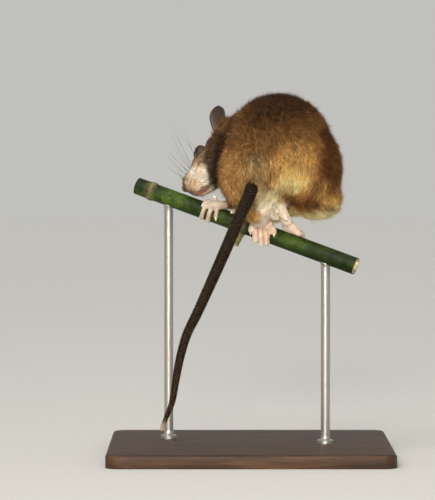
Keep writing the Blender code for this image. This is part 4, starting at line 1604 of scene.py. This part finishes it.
    def tufts(self, root: dict, bent: bool, rng: np.random.Generator) -> list:
        """Make three-sided tufts that rise from the skin and end in a point.

        Args:
            root: The roots' arrays, with each tuft's way, length, rise, half width and colours.
            bent: Whether each has a bend halfway, where it lies over.
            rng: The random draw.

        Returns:
            Arrays with at most piece_triangles triangles each.
        """
        place, normal, way = root["place"], root["normal"], root["way"]
        count = len(place)
        side = np.cross(normal, way)
        heading = unit(way + side * rng.normal(0, self.heading_spread, count)[:, None])
        reach, rise = root["length"][:, None], root["rise"][:, None]
        flat = reach * np.sqrt(1 - np.clip(rise, 0, 0.9) ** 2)
        start = place - normal * self.root_sunk
        swerve = side * rng.normal(0, self.swerve_spread, count)[:, None]
        end = place + (heading + swerve) * flat + normal * reach * rise
        rings = [start, place + heading * flat * 0.42 + normal * reach * rise * 0.62] if bent else [start]
        corners = []
        for number, middle in enumerate(rings):
            for k in range(3):
                turn = math.radians(90 + 120 * k)
                across = side * math.cos(turn) + normal * math.sin(turn)
                corners.append(middle + across * root["width"][:, None] * (1 - 0.2 * number))
        corners = np.stack([*corners, end], axis=1)
        colour = root["colour"]
        if bent:
            shades = colour[:, [0, 0, 0, 1, 1, 1, 2]]
            pattern = [(0, 1, 4), (0, 4, 3), (1, 2, 5), (1, 5, 4), (2, 0, 3), (2, 3, 5)]
            pattern += [(3, 4, 6), (4, 5, 6), (5, 3, 6), (0, 2, 1)]
            spots = [(-1, -1), (0, -1), (1, -1), (-1, 0.2), (0, 0.2), (1, 0.2), (0, 1)]
        else:
            shades = colour[:, [0, 0, 0, 2]]
            pattern = [(0, 1, 3), (1, 2, 3), (2, 0, 3), (0, 2, 1)]
            spots = [(-1, -1), (0, -0.6), (1, -1), (0, 1)]
        pattern, spots = np.array(pattern), np.array(spots, float) * self.patch / 2
        per = self.piece_triangles // len(pattern)
        # Tufts are dealt out in a shuffled order, so that each piece covers the whole coat.
        order = rng.permutation(count)
        parts = []
        for first in range(0, count, per):
            chosen = order[first : first + per]
            shift = np.arange(len(chosen))[:, None, None] * corners.shape[1]
            spot = root["uv"][chosen][:, None, :] + spots[None]
            parts.append(
                Arrays(
                    corners[chosen].reshape(-1, 3),
                    (pattern[None] + shift).reshape(-1, 3),
                    shades[chosen].reshape(-1, 3),
                    spot[:, pattern].reshape(-1, 2),
                )
            )
        return parts

    def dress(self, finish: HairFinish) -> list:
        """Make the coat's pieces.

        Args:
            finish: The hair's finish.

        Returns:
            The pieces.
        """
        material = finish.material()
        parts = self.grow()
        return [part.piece(f"coat_{n}", Slot.COAT, material) for n, part in enumerate(parts, start=1)]


@dataclass
class Ear:
    """A thin rounded cup that stands up and back from its root, its hollow facing forwards."""

    head: HeadPlace
    side: int
    length: float = 12.8
    width: float = 11.5
    root: tuple = (-31.5, 6.2, 3.2)
    thickness: float = 0.5
    cup: float = 3.2
    rows: int = 30
    columns: int = 26
    grey: str = "43332E"
    tip_grey: str = "322520"
    low_pink: str = "533F3A"
    rim_brown: str = "20150F"

    def build(self) -> Arrays:
        """The ear's two faces and its rounded rim, as one closed surface."""
        side = self.side
        root = np.array([self.root[0], side * self.root[1], self.root[2]])
        up = unit(np.array([-0.52, side * 0.16, 0.80]))
        front = np.array([0.80, side * -0.08, 0.56])
        front = unit(front - up * (front @ up))
        wide = np.cross(up, front)
        grids = []
        for layer in (0.0, 1.0):
            grid = []
            for i in range(self.rows + 1):
                t = i / self.rows
                half = self.half(t)
                for j in range(self.columns + 1):
                    s = 2 * j / self.columns - 1
                    rim = max(0.0, abs(s) - 0.86) / 0.14
                    rim = max(rim, max(0.0, t - 0.93) / 0.07)
                    thin = self.thickness * (1 - 0.75 * min(rim, 1.0) ** 2) * (1.5 - 0.7 * t)
                    bend = self.cup * (s * half / (self.width / 2)) ** 2 * (1.25 - 0.75 * t)
                    lean = -1.8 * math.sin(math.pi * t / 2)
                    place = root + up * (self.length * t - 2.0) + wide * (s * half * 0.96)
                    grid.append(place + front * (bend + lean - layer * thin - 0.1))
            grids.append(np.array(grid))
        across = self.columns + 1
        per = (self.rows + 1) * across
        low = (np.arange(self.rows)[:, None] * across + np.arange(self.columns)).ravel()
        face = np.stack([low, low + 1, low + 1 + across, low + across], axis=1)
        back = face[:, ::-1] + per
        edges = []
        for i in range(self.rows):
            left, right = i * across, i * across + self.columns
            edges.append((left, left + across, left + across + per, left + per))
            edges.append((right, right + per, right + across + per, right + across))
        top = self.rows * across
        for j in range(self.columns):
            edges.append((j, j + per, j + 1 + per, j + 1))
            edges.append((top + j, top + j + 1, top + j + 1 + per, top + j + per))
        places = np.concatenate(grids)
        faces = np.concatenate([face, back, np.array(edges)])
        if side < 0:
            faces = faces[:, ::-1]
        return Arrays(self.head.outward(places), faces, self.colours(per))

    def half(self, t: float) -> float:
        """Half the ear's width at a share of its length."""
        half = self.width / 2 * (0.42 + 0.58 * math.sin(math.pi * min(t * 1.15, 1.0) / 2 + 0.25))
        return half * math.sqrt(max(1.0 - max(0.0, (t - 0.45) / 0.565) ** 2.4, 0.02))

    def colours(self, per: int) -> np.ndarray:
        """Purplish grey skin, darker at the rim and pinker low down, on both faces."""
        t = np.repeat(np.arange(self.rows + 1) / self.rows, self.columns + 1)
        s = np.tile(2 * np.arange(self.columns + 1) / self.columns - 1, self.rows + 1)
        rim = np.maximum(ease(np.abs(s), 0.72, 1.0), ease(t, 0.86, 1.0))
        colour = mixed(flat(self.grey, per), self.tip_grey, ease(t, 0.2, 0.9))
        colour = mixed(colour, self.low_pink, 0.8 * (1 - ease(t, 0.1, 0.45)))
        colour = mixed(colour, self.rim_brown, 0.75 * rim)
        return np.concatenate([colour, colour])

    def dress(self, material: bpy.types.Material) -> bpy.types.Object:
        """Make the shown ear in place of its node."""
        word = "left" if self.side > 0 else "right"
        piece = self.build().piece(f"ear_shell_{word}", Slot.EAR_SKIN, material)
        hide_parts(f"ear_{word}")
        return piece


@dataclass
class Eye:
    """An eyeball with a slightly raised clear front."""

    head: HeadPlace
    side: int
    rings: int = 24
    sides: int = 40

    def dress(self, finish: EyeFinish, material: bpy.types.Material) -> bpy.types.Object:
        """Make the shown eye in place of its node.

        Args:
            finish: The eye's finish, for its colours.
            material: The material made from it.

        Returns:
            The eye.
        """
        look = self.head.turned(self.head.eye_look(self.side))
        middle = self.head.outward(self.head.eye_middle(self.side))
        radius = self.head.eye_radius
        turns = np.linspace(0.02, math.pi - 0.02, self.rings)
        bulge = 1 + 0.035 * (1 - ease(turns, 0.5, 1.1))
        path = middle + look * (np.cos(turns) * radius * bulge)[:, None]
        ball = tube(path, np.sin(turns) * radius * bulge, self.sides)
        angle = np.arccos(np.clip(unit(ball.corners - middle) @ look, -1, 1))
        pupil = 1 - ease(angle, 0.42, 0.5)
        ball.colours = mixed(flat(finish.iris_hex, len(angle)), finish.pupil_hex, pupil)
        word = "left" if self.side > 0 else "right"
        piece = ball.piece(f"eyeball_{word}", Slot.EYE, material)
        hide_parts(f"eye_{word}")
        return piece


@dataclass
class Claws:
    """Short curved claws at the tips of the toes and fingers, on the same routes as the digits."""

    stem: Stem
    base: float = 0.56
    sides: int = 10

    def routes(self) -> list:
        """Tip and claw end of each digit.

        Returns:
            Pairs of places.
        """
        ring, radius = self.stem.ring, self.stem.radius

        def last(x: float, turns: tuple, clear: float, drift: float) -> tuple:
            """The last two places of a digit that bends round the stem."""
            spots = [ring(x + drift * k, turn, radius + clear) for k, turn in enumerate(turns)]
            return spots[-2], spots[-1]

        pairs = [
            last(2.2, (64, 92, 114), 1.5, 0.1),
            last(4.3, (72, 106, 140, 160), 1.5, 0.15),
            last(6.5, (74, 110, 146, 166), 1.5, 0.4),
            last(8.8, (70, 100, 128, 146), 1.5, 0.45),
            last(10.8, (52, 68, 82), 1.45, 0.6),
            last(-18.8, (62, 92, 120, 138), 1.3, -0.15),
            last(-16.3, (68, 98, 126, 144), 1.3, 0.0),
            last(-13.7, (70, 92, 108), 1.25, 0.35),
            last(-19.2, (16, 36, 52, 64), 1.3, -0.35),
            (np.array([-15.2, 6.8, 113.0]), np.array([-15.8, 6.6, 113.8])),
            (np.array([15.7, -11.0, 104.7]), np.array([16.4, -10.9, 103.6])),
        ]
        pairs += [last(x, (18, -14, -48, -78, -98), 1.6, 0.35) for x in (14.6, 16.4, 18.2, 20.0)]
        pairs += [last(x, (-24, 4, 30, 48), 1.45, -0.15) for x in (-7.6, -5.9, -4.2, -2.6)]
        return pairs

    def dress(self, finish: HornFinish) -> bpy.types.Object:
        """Make all the claws as one piece."""
        parts = []
        for tip, end in self.routes():
            way = unit(end - tip)
            out = unit(tip - self.stem.place(tip[0]))
            span = np.linalg.norm(end - tip) + 0.5
            share = np.linspace(0, 1, 7)
            arch = np.sin(share * math.pi * 0.9) * 0.22
            path = tip + way * (share * span)[:, None] + out * (0.35 - 0.35 * share + arch)[:, None]
            parts.append(tube(path, self.base * (1 - share) ** 0.7 + 0.06, self.sides))
        return joined(parts).piece("claws", Slot.BARE_SKIN, finish.material())


@dataclass
class Whiskers:
    """Long tapered whiskers from both pads, and a few over the eyes."""

    head: HeadPlace
    rows: int = 5
    columns: int = 5
    longest: float = 27.0
    thick: float = 0.065
    bristles: int = 45
    # Each kind's colour near the root and at the tip.
    dark_hexes: tuple = ("1C1512", "8C7A66")
    pale_hexes: tuple = ("E8DCC8", "F2EADC")

    def dress(self, material: bpy.types.Material) -> bpy.types.Object:
        """Make every whisker as one piece, the upper ones dark and the lower ones pale."""
        rng = np.random.default_rng(SEED + 2)
        parts = []
        for side in (-1, 1):
            for row in range(self.rows):
                for column in range(self.columns):
                    root = np.array([-5.8 - 1.5 * column, side * (4.6 + 0.35 * column), -1.4 - 1.25 * row])
                    reach = self.longest * (0.42 + 0.13 * column) * rng.uniform(0.75, 1.05)
                    out = np.array([0.3 - 0.13 * column, side * 1.0, 0.42 - 0.22 * row])
                    out = unit(out + rng.normal(0, 0.09, 3))
                    parts.append(self.strand(root, out, reach, row < 3, rng))
            for k in range(3):
                root = np.array([-15.5 - 1.0 * k, side * 4.6, 5.4])
                out = unit(np.array([-0.15, side * 0.55, 0.8]) + rng.normal(0, 0.12, 3))
                parts.append(self.strand(root, out, 13.0 - 2 * k, True, rng))
            for _ in range(self.bristles):
                high = rng.uniform(-7.5, 0.5)
                root = np.array([rng.uniform(-13.0, -3.5), side * rng.uniform(3.8, 5.6), high])
                out = unit(np.array([-0.1, side * 0.9, 0.35 + 0.06 * high]) + rng.normal(0, 0.16, 3))
                parts.append(self.strand(root, out, rng.uniform(2.6, 5.0), rng.random() < 0.6, rng))
        return joined(parts).piece("whiskers", Slot.COAT, material)

    def strand(
        self, root: np.ndarray, out: np.ndarray, reach: float, dark: bool, rng: np.random.Generator
    ) -> Arrays:
        """One whisker that sweeps back a little towards its tip.

        Args:
            root: Where it starts, in the head's own frame.
            out: The way it starts.
            reach: Its length.
            dark: Whether it is dark for most of its length.
            rng: The random draw.

        Returns:
            The whisker.
        """
        share = np.linspace(0, 1, 9)
        sweep = np.array([-0.16, 0.0, 0.05]) * rng.uniform(0.6, 1.4)
        path = root + out * (share * reach)[:, None] + sweep * (share**2 * reach)[:, None]
        strand = tube(self.head.outward(path), self.thick * (1 - 0.85 * share), 4)
        rings = len(strand.corners) // 4
        along = np.repeat(np.linspace(0, 1, rings), 4)
        low, high = self.dark_hexes if dark else self.pale_hexes
        strand.colours = mixed(flat(low, len(along)), high, ease(along, 0.5, 1.0))
        return strand


@dataclass
class Tail:
    """The long tail: a mosaic of small scales that lie edge to edge, with fine bristles between them."""

    root_radius: float = 2.9
    tip_radius: float = 0.6
    scales_round: int = 24
    rows: int = 176
    fine_round: int = 3
    fine_along: int = 4
    relief: float = 0.14
    plate_hex: str = "070403"
    seam_hex: str = "2C2013"
    tip_hex: str = "A08C7C"
    points: tuple = (
        (0.8, -20.0, 120.0), (-0.6, -25.6, 115.2), (-4.6, -30.0, 106.4),
        (-9.2, -33.4, 95.6), (-13.8, -36.2, 85.2), (-18.4, -38.8, 75.0),
        (-23.0, -41.2, 65.0), (-27.4, -43.4, 56.0), (-30.2, -45.6, 46.4),
        (-32.2, -47.6, 36.0), (-33.6, -49.2, 27.6), (-36.2, -50.6, 20.8),
        (-38.4, -51.4, 15.4),
    )

    def line(self) -> tuple:
        """The tail's middle line in even steps, and its radius at each."""
        count = len(self.points) - 1
        pairs = []
        for k, point in enumerate(self.points):
            t = k / count
            radius = self.root_radius + (self.tip_radius - self.root_radius) * (0.62 * t + 0.38 * t**4)
            pairs.append((point, radius))
        path, radii = smooth_path(pairs, 12)
        along = np.concatenate([[0], np.cumsum(np.linalg.norm(np.diff(path, axis=0), axis=1))])
        even = np.linspace(0, along[-1], self.rows * self.fine_along + 1)
        spots = np.stack([np.interp(even, along, path[:, k]) for k in range(3)], axis=1)
        return spots, np.interp(even, along, radii)

    def build(self) -> Arrays:
        """The scaled surface with its colours."""
        spots, radii = self.line()
        sides = self.scales_round * self.fine_round
        plain = tube(spots, radii, sides)
        rings = len(plain.corners) // sides
        along = np.repeat(np.clip((np.arange(rings) - 1) / self.fine_along, 0, self.rows - 1e-6), sides)
        round_ = np.tile(np.arange(sides) / self.fine_round, rings)
        row = np.floor(along)
        across = (round_ + 0.5 * (row % 2)) % 1.0 * 2 - 1
        forward = (along - row) * 2 - 1
        plate = (1 - np.abs(across) ** 3) * (1 - np.abs(forward) ** 3)
        middle = np.concatenate([spots[:1], spots, spots[-1:]]).repeat(sides, axis=0)
        size = np.concatenate([radii[:1], radii, radii[-1:]]).repeat(sides)
        out = unit(plain.corners - middle)
        lift = self.relief * (plate - 0.6) * (size / self.root_radius)
        lift[:sides] = lift[-sides:] = 0
        plain.corners = plain.corners + out * lift[:, None]
        rng = np.random.default_rng(SEED + 3)
        column = np.floor(round_ + 0.5 * (row % 2)) % self.scales_round
        cell = (row * self.scales_round + column).astype(int)
        tone = rng.uniform(0.4, 1.7, cell.max() + 1)[cell]
        tip = ease(along / self.rows, 0.955, 0.985)
        colours = flat(self.plate_hex, len(along)) * tone[:, None]
        colours = mixed(colours, self.seam_hex, 0.75 * (1 - ease(plate, 0.1, 0.5)))
        plain.colours = mixed(colours, self.tip_hex, 0.8 * tip)
        return plain

    def bristles(self) -> Arrays:
        """Short stiff hairs that lie along the tail."""
        spots, radii = self.line()
        rng = np.random.default_rng(SEED + 4)
        parts = []
        ways = unit(np.gradient(spots, axis=0))
        for ring, k in enumerate(range(6, len(spots) - 6, 4)):
            side = unit(np.cross(ways[k], [0.3, 0.2, 1.0]))
            high = np.cross(ways[k], side)
            for number in range(9):
                turn = (number + 0.5 * (ring % 2) + rng.uniform(-0.15, 0.15)) * 2 * math.pi / 9
                out = side * math.cos(turn) + high * math.sin(turn)
                start = spots[k] + out * radii[k]
                reach = rng.uniform(0.45, 0.8)
                end = start + ways[k] * reach + out * 0.16
                path = np.array([start, (start + end) / 2 + out * 0.04, end])
                parts.append(tube(path, np.array([0.06, 0.05, 0.015]), 3))
        hairs = joined(parts)
        gold = np.repeat(rng.random(len(parts)) ** 2.0, len(hairs.corners) // len(parts))
        hairs.colours = mixed(flat("1C140C", len(gold)), "B59D78", gold)
        return hairs

    def dress(self, finish: ScaleFinish, hair: bpy.types.Material) -> list:
        """Make the scaled tail in place of its nodes, and its bristles."""
        scaled = self.build().piece("tail_scales", Slot.TAIL_SKIN, finish.material())
        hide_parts("tail_1", "tail_2", "tail_3", "tail_4")
        return [scaled, self.bristles().piece("tail_bristles", Slot.TAIL_SKIN, hair)]


@dataclass
class Perch:
    """The cut length of bamboo: two nodes, the stub of a side shoot and ends that show the cut wall."""

    stem: Stem
    sides: int = 64
    step: float = 0.5
    stub_radius: float = 1.9
    stub_length: float = 6.0
    wall: float = 1.1
    hollow_depth: float = 2.2

    def build(self) -> Arrays:
        """The culm with its cut ends, and the stub, as one mesh."""
        stem = self.stem
        xs = np.arange(stem.left, stem.right + 1e-6, self.step)
        swell = sum(np.exp(-(((xs - n) / stem.node_length) ** 2)) for n in stem.nodes)
        groove = sum(np.exp(-(((xs - n + 0.9) / 0.45) ** 2)) for n in stem.nodes)
        radii = stem.radius + stem.node_rise * swell - 0.22 * groove
        inset = stem.radius - self.wall
        span = self.hollow_depth
        first, last = xs[0], xs[-1]
        path = np.concatenate([[first + span, first + span, first + 0.05], xs, [last - 0.05]])
        path = np.concatenate([path, [last - span, last - span]])
        size = np.concatenate([[0.02, inset, inset], radii, [inset, inset, 0.02]])
        culm = self.ringed(path, size)
        node = stem.nodes[1]
        root = stem.ring(node, 178.0, 1.0)
        tip = stem.ring(node - 0.8, 172.0, stem.radius + self.stub_length)
        share = np.linspace(0, 1, 14)
        way = tip - root
        bumps = 1 + 0.06 * np.sin(share * 21)
        stub_path = root + way * share[:, None]
        stub = tube(stub_path, self.stub_radius * (1 - 0.2 * share) * bumps, 24)
        cut = ease((stub.corners - root) @ unit(way), np.linalg.norm(way) - 0.2, np.linalg.norm(way))
        stub.colours = mixed(flat("6E6A44", len(stub.corners)), "C9B98C", cut)
        return joined([culm, stub])

    def ringed(self, xs: np.ndarray, radii: np.ndarray) -> Arrays:
        """A tube about the stem's line with the culm's colours.

        Args:
            xs: Where along the stem each ring is.
            radii: Each ring's radius.

        Returns:
            The tube.
        """
        stem = self.stem
        _, top, near = stem.axes()
        turns = np.arange(self.sides) * (2 * math.pi / self.sides)
        spokes = np.cos(turns)[:, None] * top + np.sin(turns)[:, None] * near
        places = stem.place(xs)[:, None, :] + radii[:, None, None] * spokes[None]
        corners = places.reshape(-1, 3)
        faces = strips(len(xs), self.sides)[:, [1, 2, 3, 0]]
        x = np.repeat(xs, self.sides)
        radius = np.repeat(radii, self.sides)
        green = mixed(flat("1A260A", len(x)), "364814", 0.8 * ease(mottle(corners, 16.0, 21), 0.0, 0.7))
        green = mixed(green, "40561A", 0.7 * ease(x, -22.0, -34.0) * ease(x, -41, -36))
        for node in stem.nodes:
            # A pale band at each node, and the dark scar of its sheath just before it.
            green = mixed(green, "6E6842", 0.75 * np.exp(-(((x - node) / 1.5) ** 2)))
            green = mixed(green, "3A2E1C", 0.6 * np.exp(-(((x - node + 0.9) / 0.35) ** 2)))
        # The cut wall and, darker, the hollow inside it.
        green[radius < stem.radius - 0.5] = linear("CDBE92")
        green[radius < stem.radius - self.wall - 0.5] = linear("6A5A38")
        return Arrays(corners, faces, green)

    def dress(self, finish: BambooFinish) -> bpy.types.Object:
        """Make the shown perch in place of its node."""
        piece = self.build().piece("bamboo_perch", Slot.BAMBOO, finish.material())
        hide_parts("perch")
        return piece


@dataclass
class Stand:
    """The plain display stand: a flat wooden base with soft edges, and two steel rods with collars."""

    stem: Stem
    width: float = 124.0
    depth: float = 124.0
    height: float = 6.0
    corner: float = 6.0
    bevel: float = 1.5
    foot_bevel: float = 0.4
    rod_radius: float = 2.0
    rod_places: tuple = (-36.0, 33.0)
    collar_radius: float = 3.6
    collar_height: float = 1.8
    sides: int = 40

    def base(self, material: bpy.types.Material) -> bpy.types.Object:
        """The wooden base in place of its node."""
        bm = bmesh.new()
        size = Matrix.Diagonal((self.width, self.depth, self.height, 1.0))
        bmesh.ops.create_cube(bm, size=1.0, matrix=Matrix.Translation((0, 0, self.height / 2)) @ size)

        def soften(chosen: Callable, offset: float, segments: int) -> None:
            """Round off the edges whose two heights pass a test."""
            edges = [e for e in bm.edges if chosen(sorted(v.co.z for v in e.verts))]
            bmesh.ops.bevel(bm, geom=edges, offset=offset, segments=segments, affect="EDGES", profile=0.5)

        soften(lambda z: z[1] - z[0] > 1, self.corner, 12)
        soften(lambda z: z[0] > self.height - 0.01, self.bevel, 5)
        soften(lambda z: z[1] < 0.01, self.foot_bevel, 2)
        bmesh.ops.scale(bm, vec=(MM, MM, MM), verts=bm.verts)
        mesh = bpy.data.meshes.new("display_base")
        bm.to_mesh(mesh)
        bm.free()
        mesh.shade_smooth()
        mesh.set_sharp_from_angle(angle=math.radians(40))
        mesh.materials.append(material)
        piece = bpy.data.objects.new("display_base", mesh)
        bpy.context.scene.collection.objects.link(piece)
        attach(piece, "root")
        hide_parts("stand_base")
        return piece

    def rod(self, number: int, x: float, material: bpy.types.Material) -> bpy.types.Object:
        """One rod with a collar at its foot and a small saddle under the stem.

        Args:
            number: 1 or 2.
            x: Where it stands.
            material: The steel.

        Returns:
            The rod.
        """
        foot = self.stem.place(x)
        top = foot[2] - self.stem.radius * 0.72
        low = self.height + 0.02
        collar, ring = self.collar_radius, self.collar_height
        profile = [
            (low, 0.05),
            (low, collar),
            (low + ring * 0.75, collar),
            (low + ring, collar - 0.5),
            (low + ring, self.rod_radius),
            (top - 1.6, self.rod_radius),
            (top - 1.2, self.rod_radius + 0.25),
            (top, self.rod_radius + 0.25),
            (top, 0.05),
        ]
        rings = []
        for (z, r), (z2, r2) in zip(profile, profile[1:]):
            rings.append((z, r))
            for share in (0.02, 0.98):
                rings.append((z + (z2 - z) * share, r + (r2 - r) * share))
        rings.append(profile[-1])
        path = np.array([[foot[0], foot[1], z] for z, _ in rings])
        turns = np.arange(self.sides) * (2 * math.pi / self.sides)
        circle = np.stack([np.cos(turns), np.sin(turns), np.zeros(self.sides)], axis=1)
        radii = np.array([r for _, r in rings])[:, None, None]
        made = Arrays((path[:, None, :] + radii * circle).reshape(-1, 3), strips(len(rings), self.sides))
        piece = made.piece(f"steel_rod_{number}", Slot.STAND_STEEL, material)
        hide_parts(f"stand_rod_{number}")
        return piece

    def dress(self, wood: WoodFinish, steel: SteelFinish) -> list:
        """Make the whole stand."""
        metal = steel.material()
        made = [self.base(wood.material())]
        for number, x in enumerate(self.rod_places, start=1):
            made.append(self.rod(number, x, metal))
        return made


@dataclass(frozen=True)
class Lamp:
    """One soft square light; its place, the point it is aimed at and its width are in metres."""

    name: str
    place: tuple
    aim: tuple
    watts: float
    tint: str
    mirrored: bool
    width: float = 0.3
    # A narrow spread keeps a lamp that hangs low from burning out the floor under it.
    spread: float = math.radians(50)

    def hang(self) -> None:
        """Hang the lamp where no camera sees it as a white square behind the model."""
        data = bpy.data.lights.new(self.name, "AREA")
        data.size = self.width
        data.spread = self.spread
        data.energy = self.watts
        data.color = linear(self.tint)
        lamp = bpy.data.objects.new(self.name, data)
        lamp.location = self.place
        lamp.visible_camera = False
        lamp.visible_glossy = self.mirrored
        way = Vector(self.aim) - Vector(self.place)
        lamp.rotation_euler = way.to_track_quat("-Z", "Y").to_euler()
        bpy.context.scene.collection.objects.link(lamp)


@dataclass
class Studio:
    """Pale floor, soft lights and the camera that gives the photograph's framing."""

    distance: float = 1.5
    elevation: float = math.radians(2.0)
    floor_width: float = 8.0
    sky_strength: float = 1.4
    sky_way: tuple = (0.35, 0.75, -1.0)
    sky_width: float = math.radians(40)
    room_hex: str = "DDDCD8"
    room_strength: float = 0.74
    lamps: tuple = (
        Lamp("key", (-0.12, -1.35, 0.42), (0, 0, 0.12), 1.4, "FFF3E2", True),
        # The low lamp stays out of the varnish of the base.
        Lamp("fill", (0.16, -1.3, 0.1), (0.02, 0, 0.106), 0.7, "FFF6EA", False),
    )

    def floor(self) -> None:
        """Lay a wide pale floor."""
        half = self.floor_width / 2 / MM
        corners = np.array([(-half, -half, 0), (half, -half, 0), (half, half, 0), (-half, half, 0)], float)
        mesh = Arrays(corners, np.array([[0, 1, 2, 3]])).mesh("floor", MM)
        mesh.materials.append(FloorFinish().material())
        floor = bpy.data.objects.new("floor", mesh)
        bpy.context.scene.collection.objects.link(floor)

    def sun(self) -> None:
        """Hang one wide soft light far off, so that the floor is lit evenly to its edge."""
        data = bpy.data.lights.new("sky", "SUN")
        data.angle = self.sky_width
        data.energy = self.sky_strength
        lamp = bpy.data.objects.new("sky", data)
        lamp.rotation_euler = Vector(self.sky_way).to_track_quat("-Z", "Y").to_euler()
        bpy.context.scene.collection.objects.link(lamp)

    def world(self) -> None:
        """Give the room an even pale light."""
        world = bpy.data.worlds.new("studio")
        world.use_nodes = True
        back = world.node_tree.nodes["Background"]
        back.inputs["Color"].default_value = rgba(self.room_hex)
        back.inputs["Strength"].default_value = self.room_strength
        bpy.context.scene.world = world

    def camera(self) -> None:
        """Set the camera so that a pixel of the photograph falls on its place in the row frame."""
        middle_x = (PHOTO_WIDTH / 2 - ORIGIN_COLUMN) * PIXEL * MM
        middle_z = (ORIGIN_ROW - PHOTO_HEIGHT / 2) * PIXEL * MM
        target = Vector((middle_x, 0, middle_z))
        way = Vector((0, -math.cos(self.elevation), math.sin(self.elevation)))
        data = bpy.data.cameras.new("camera")
        data.sensor_fit = "VERTICAL"
        data.angle = 2 * math.atan(PHOTO_HEIGHT / 2 * PIXEL * MM / self.distance)
        data.clip_start = 0.01
        lens = bpy.data.objects.new("camera", data)
        lens.location = target + way * self.distance
        lens.rotation_euler = (-way).to_track_quat("-Z", "Y").to_euler()
        bpy.context.scene.collection.objects.link(lens)
        bpy.context.scene.camera = lens

    def set_up(self) -> None:
        """Lay the floor, hang the lights and set the camera."""
        self.floor()
        self.world()
        self.sun()
        for lamp in self.lamps:
            lamp.hang()
        self.camera()
        view = bpy.context.scene.view_settings
        view.view_transform = "Standard"
        view.look = "None"


def main() -> None:
    """Build every sub-assembly in order and report each piece."""
    logging.basicConfig(level=logging.INFO, format="%(name)s: %(message)s")
    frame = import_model()
    head = HeadPlace()
    stem = Stem()
    markings = Markings(head, stem)
    skin = Skin(head, stem, markings)
    skin.build(frame["nodes"])
    made = [skin.dress(SkinFinish())]
    LOG.info("skin is dressed")
    hair = HairFinish()
    made += Coat(skin, head, markings, stem).dress(hair)
    ear_skin = EarFinish().material()
    made += [Ear(head, side).dress(ear_skin) for side in (1, -1)]
    eye = EyeFinish()
    wet = eye.material()
    made += [Eye(head, side).dress(eye, wet) for side in (1, -1)]
    made.append(Claws(stem).dress(HornFinish()))
    strand = HairFinish("whisker hair", 0.35).material()
    made.append(Whiskers(head).dress(strand))
    made += Tail().dress(ScaleFinish(), strand)
    made.append(Perch(stem).dress(BambooFinish()))
    made += Stand(stem).dress(WoodFinish(), SteelFinish())
    for piece in made:
        LOG.info("%s: %d faces", piece.name, len(piece.data.polygons))
    Studio().set_up()


if __name__ == "__main__":
    main()
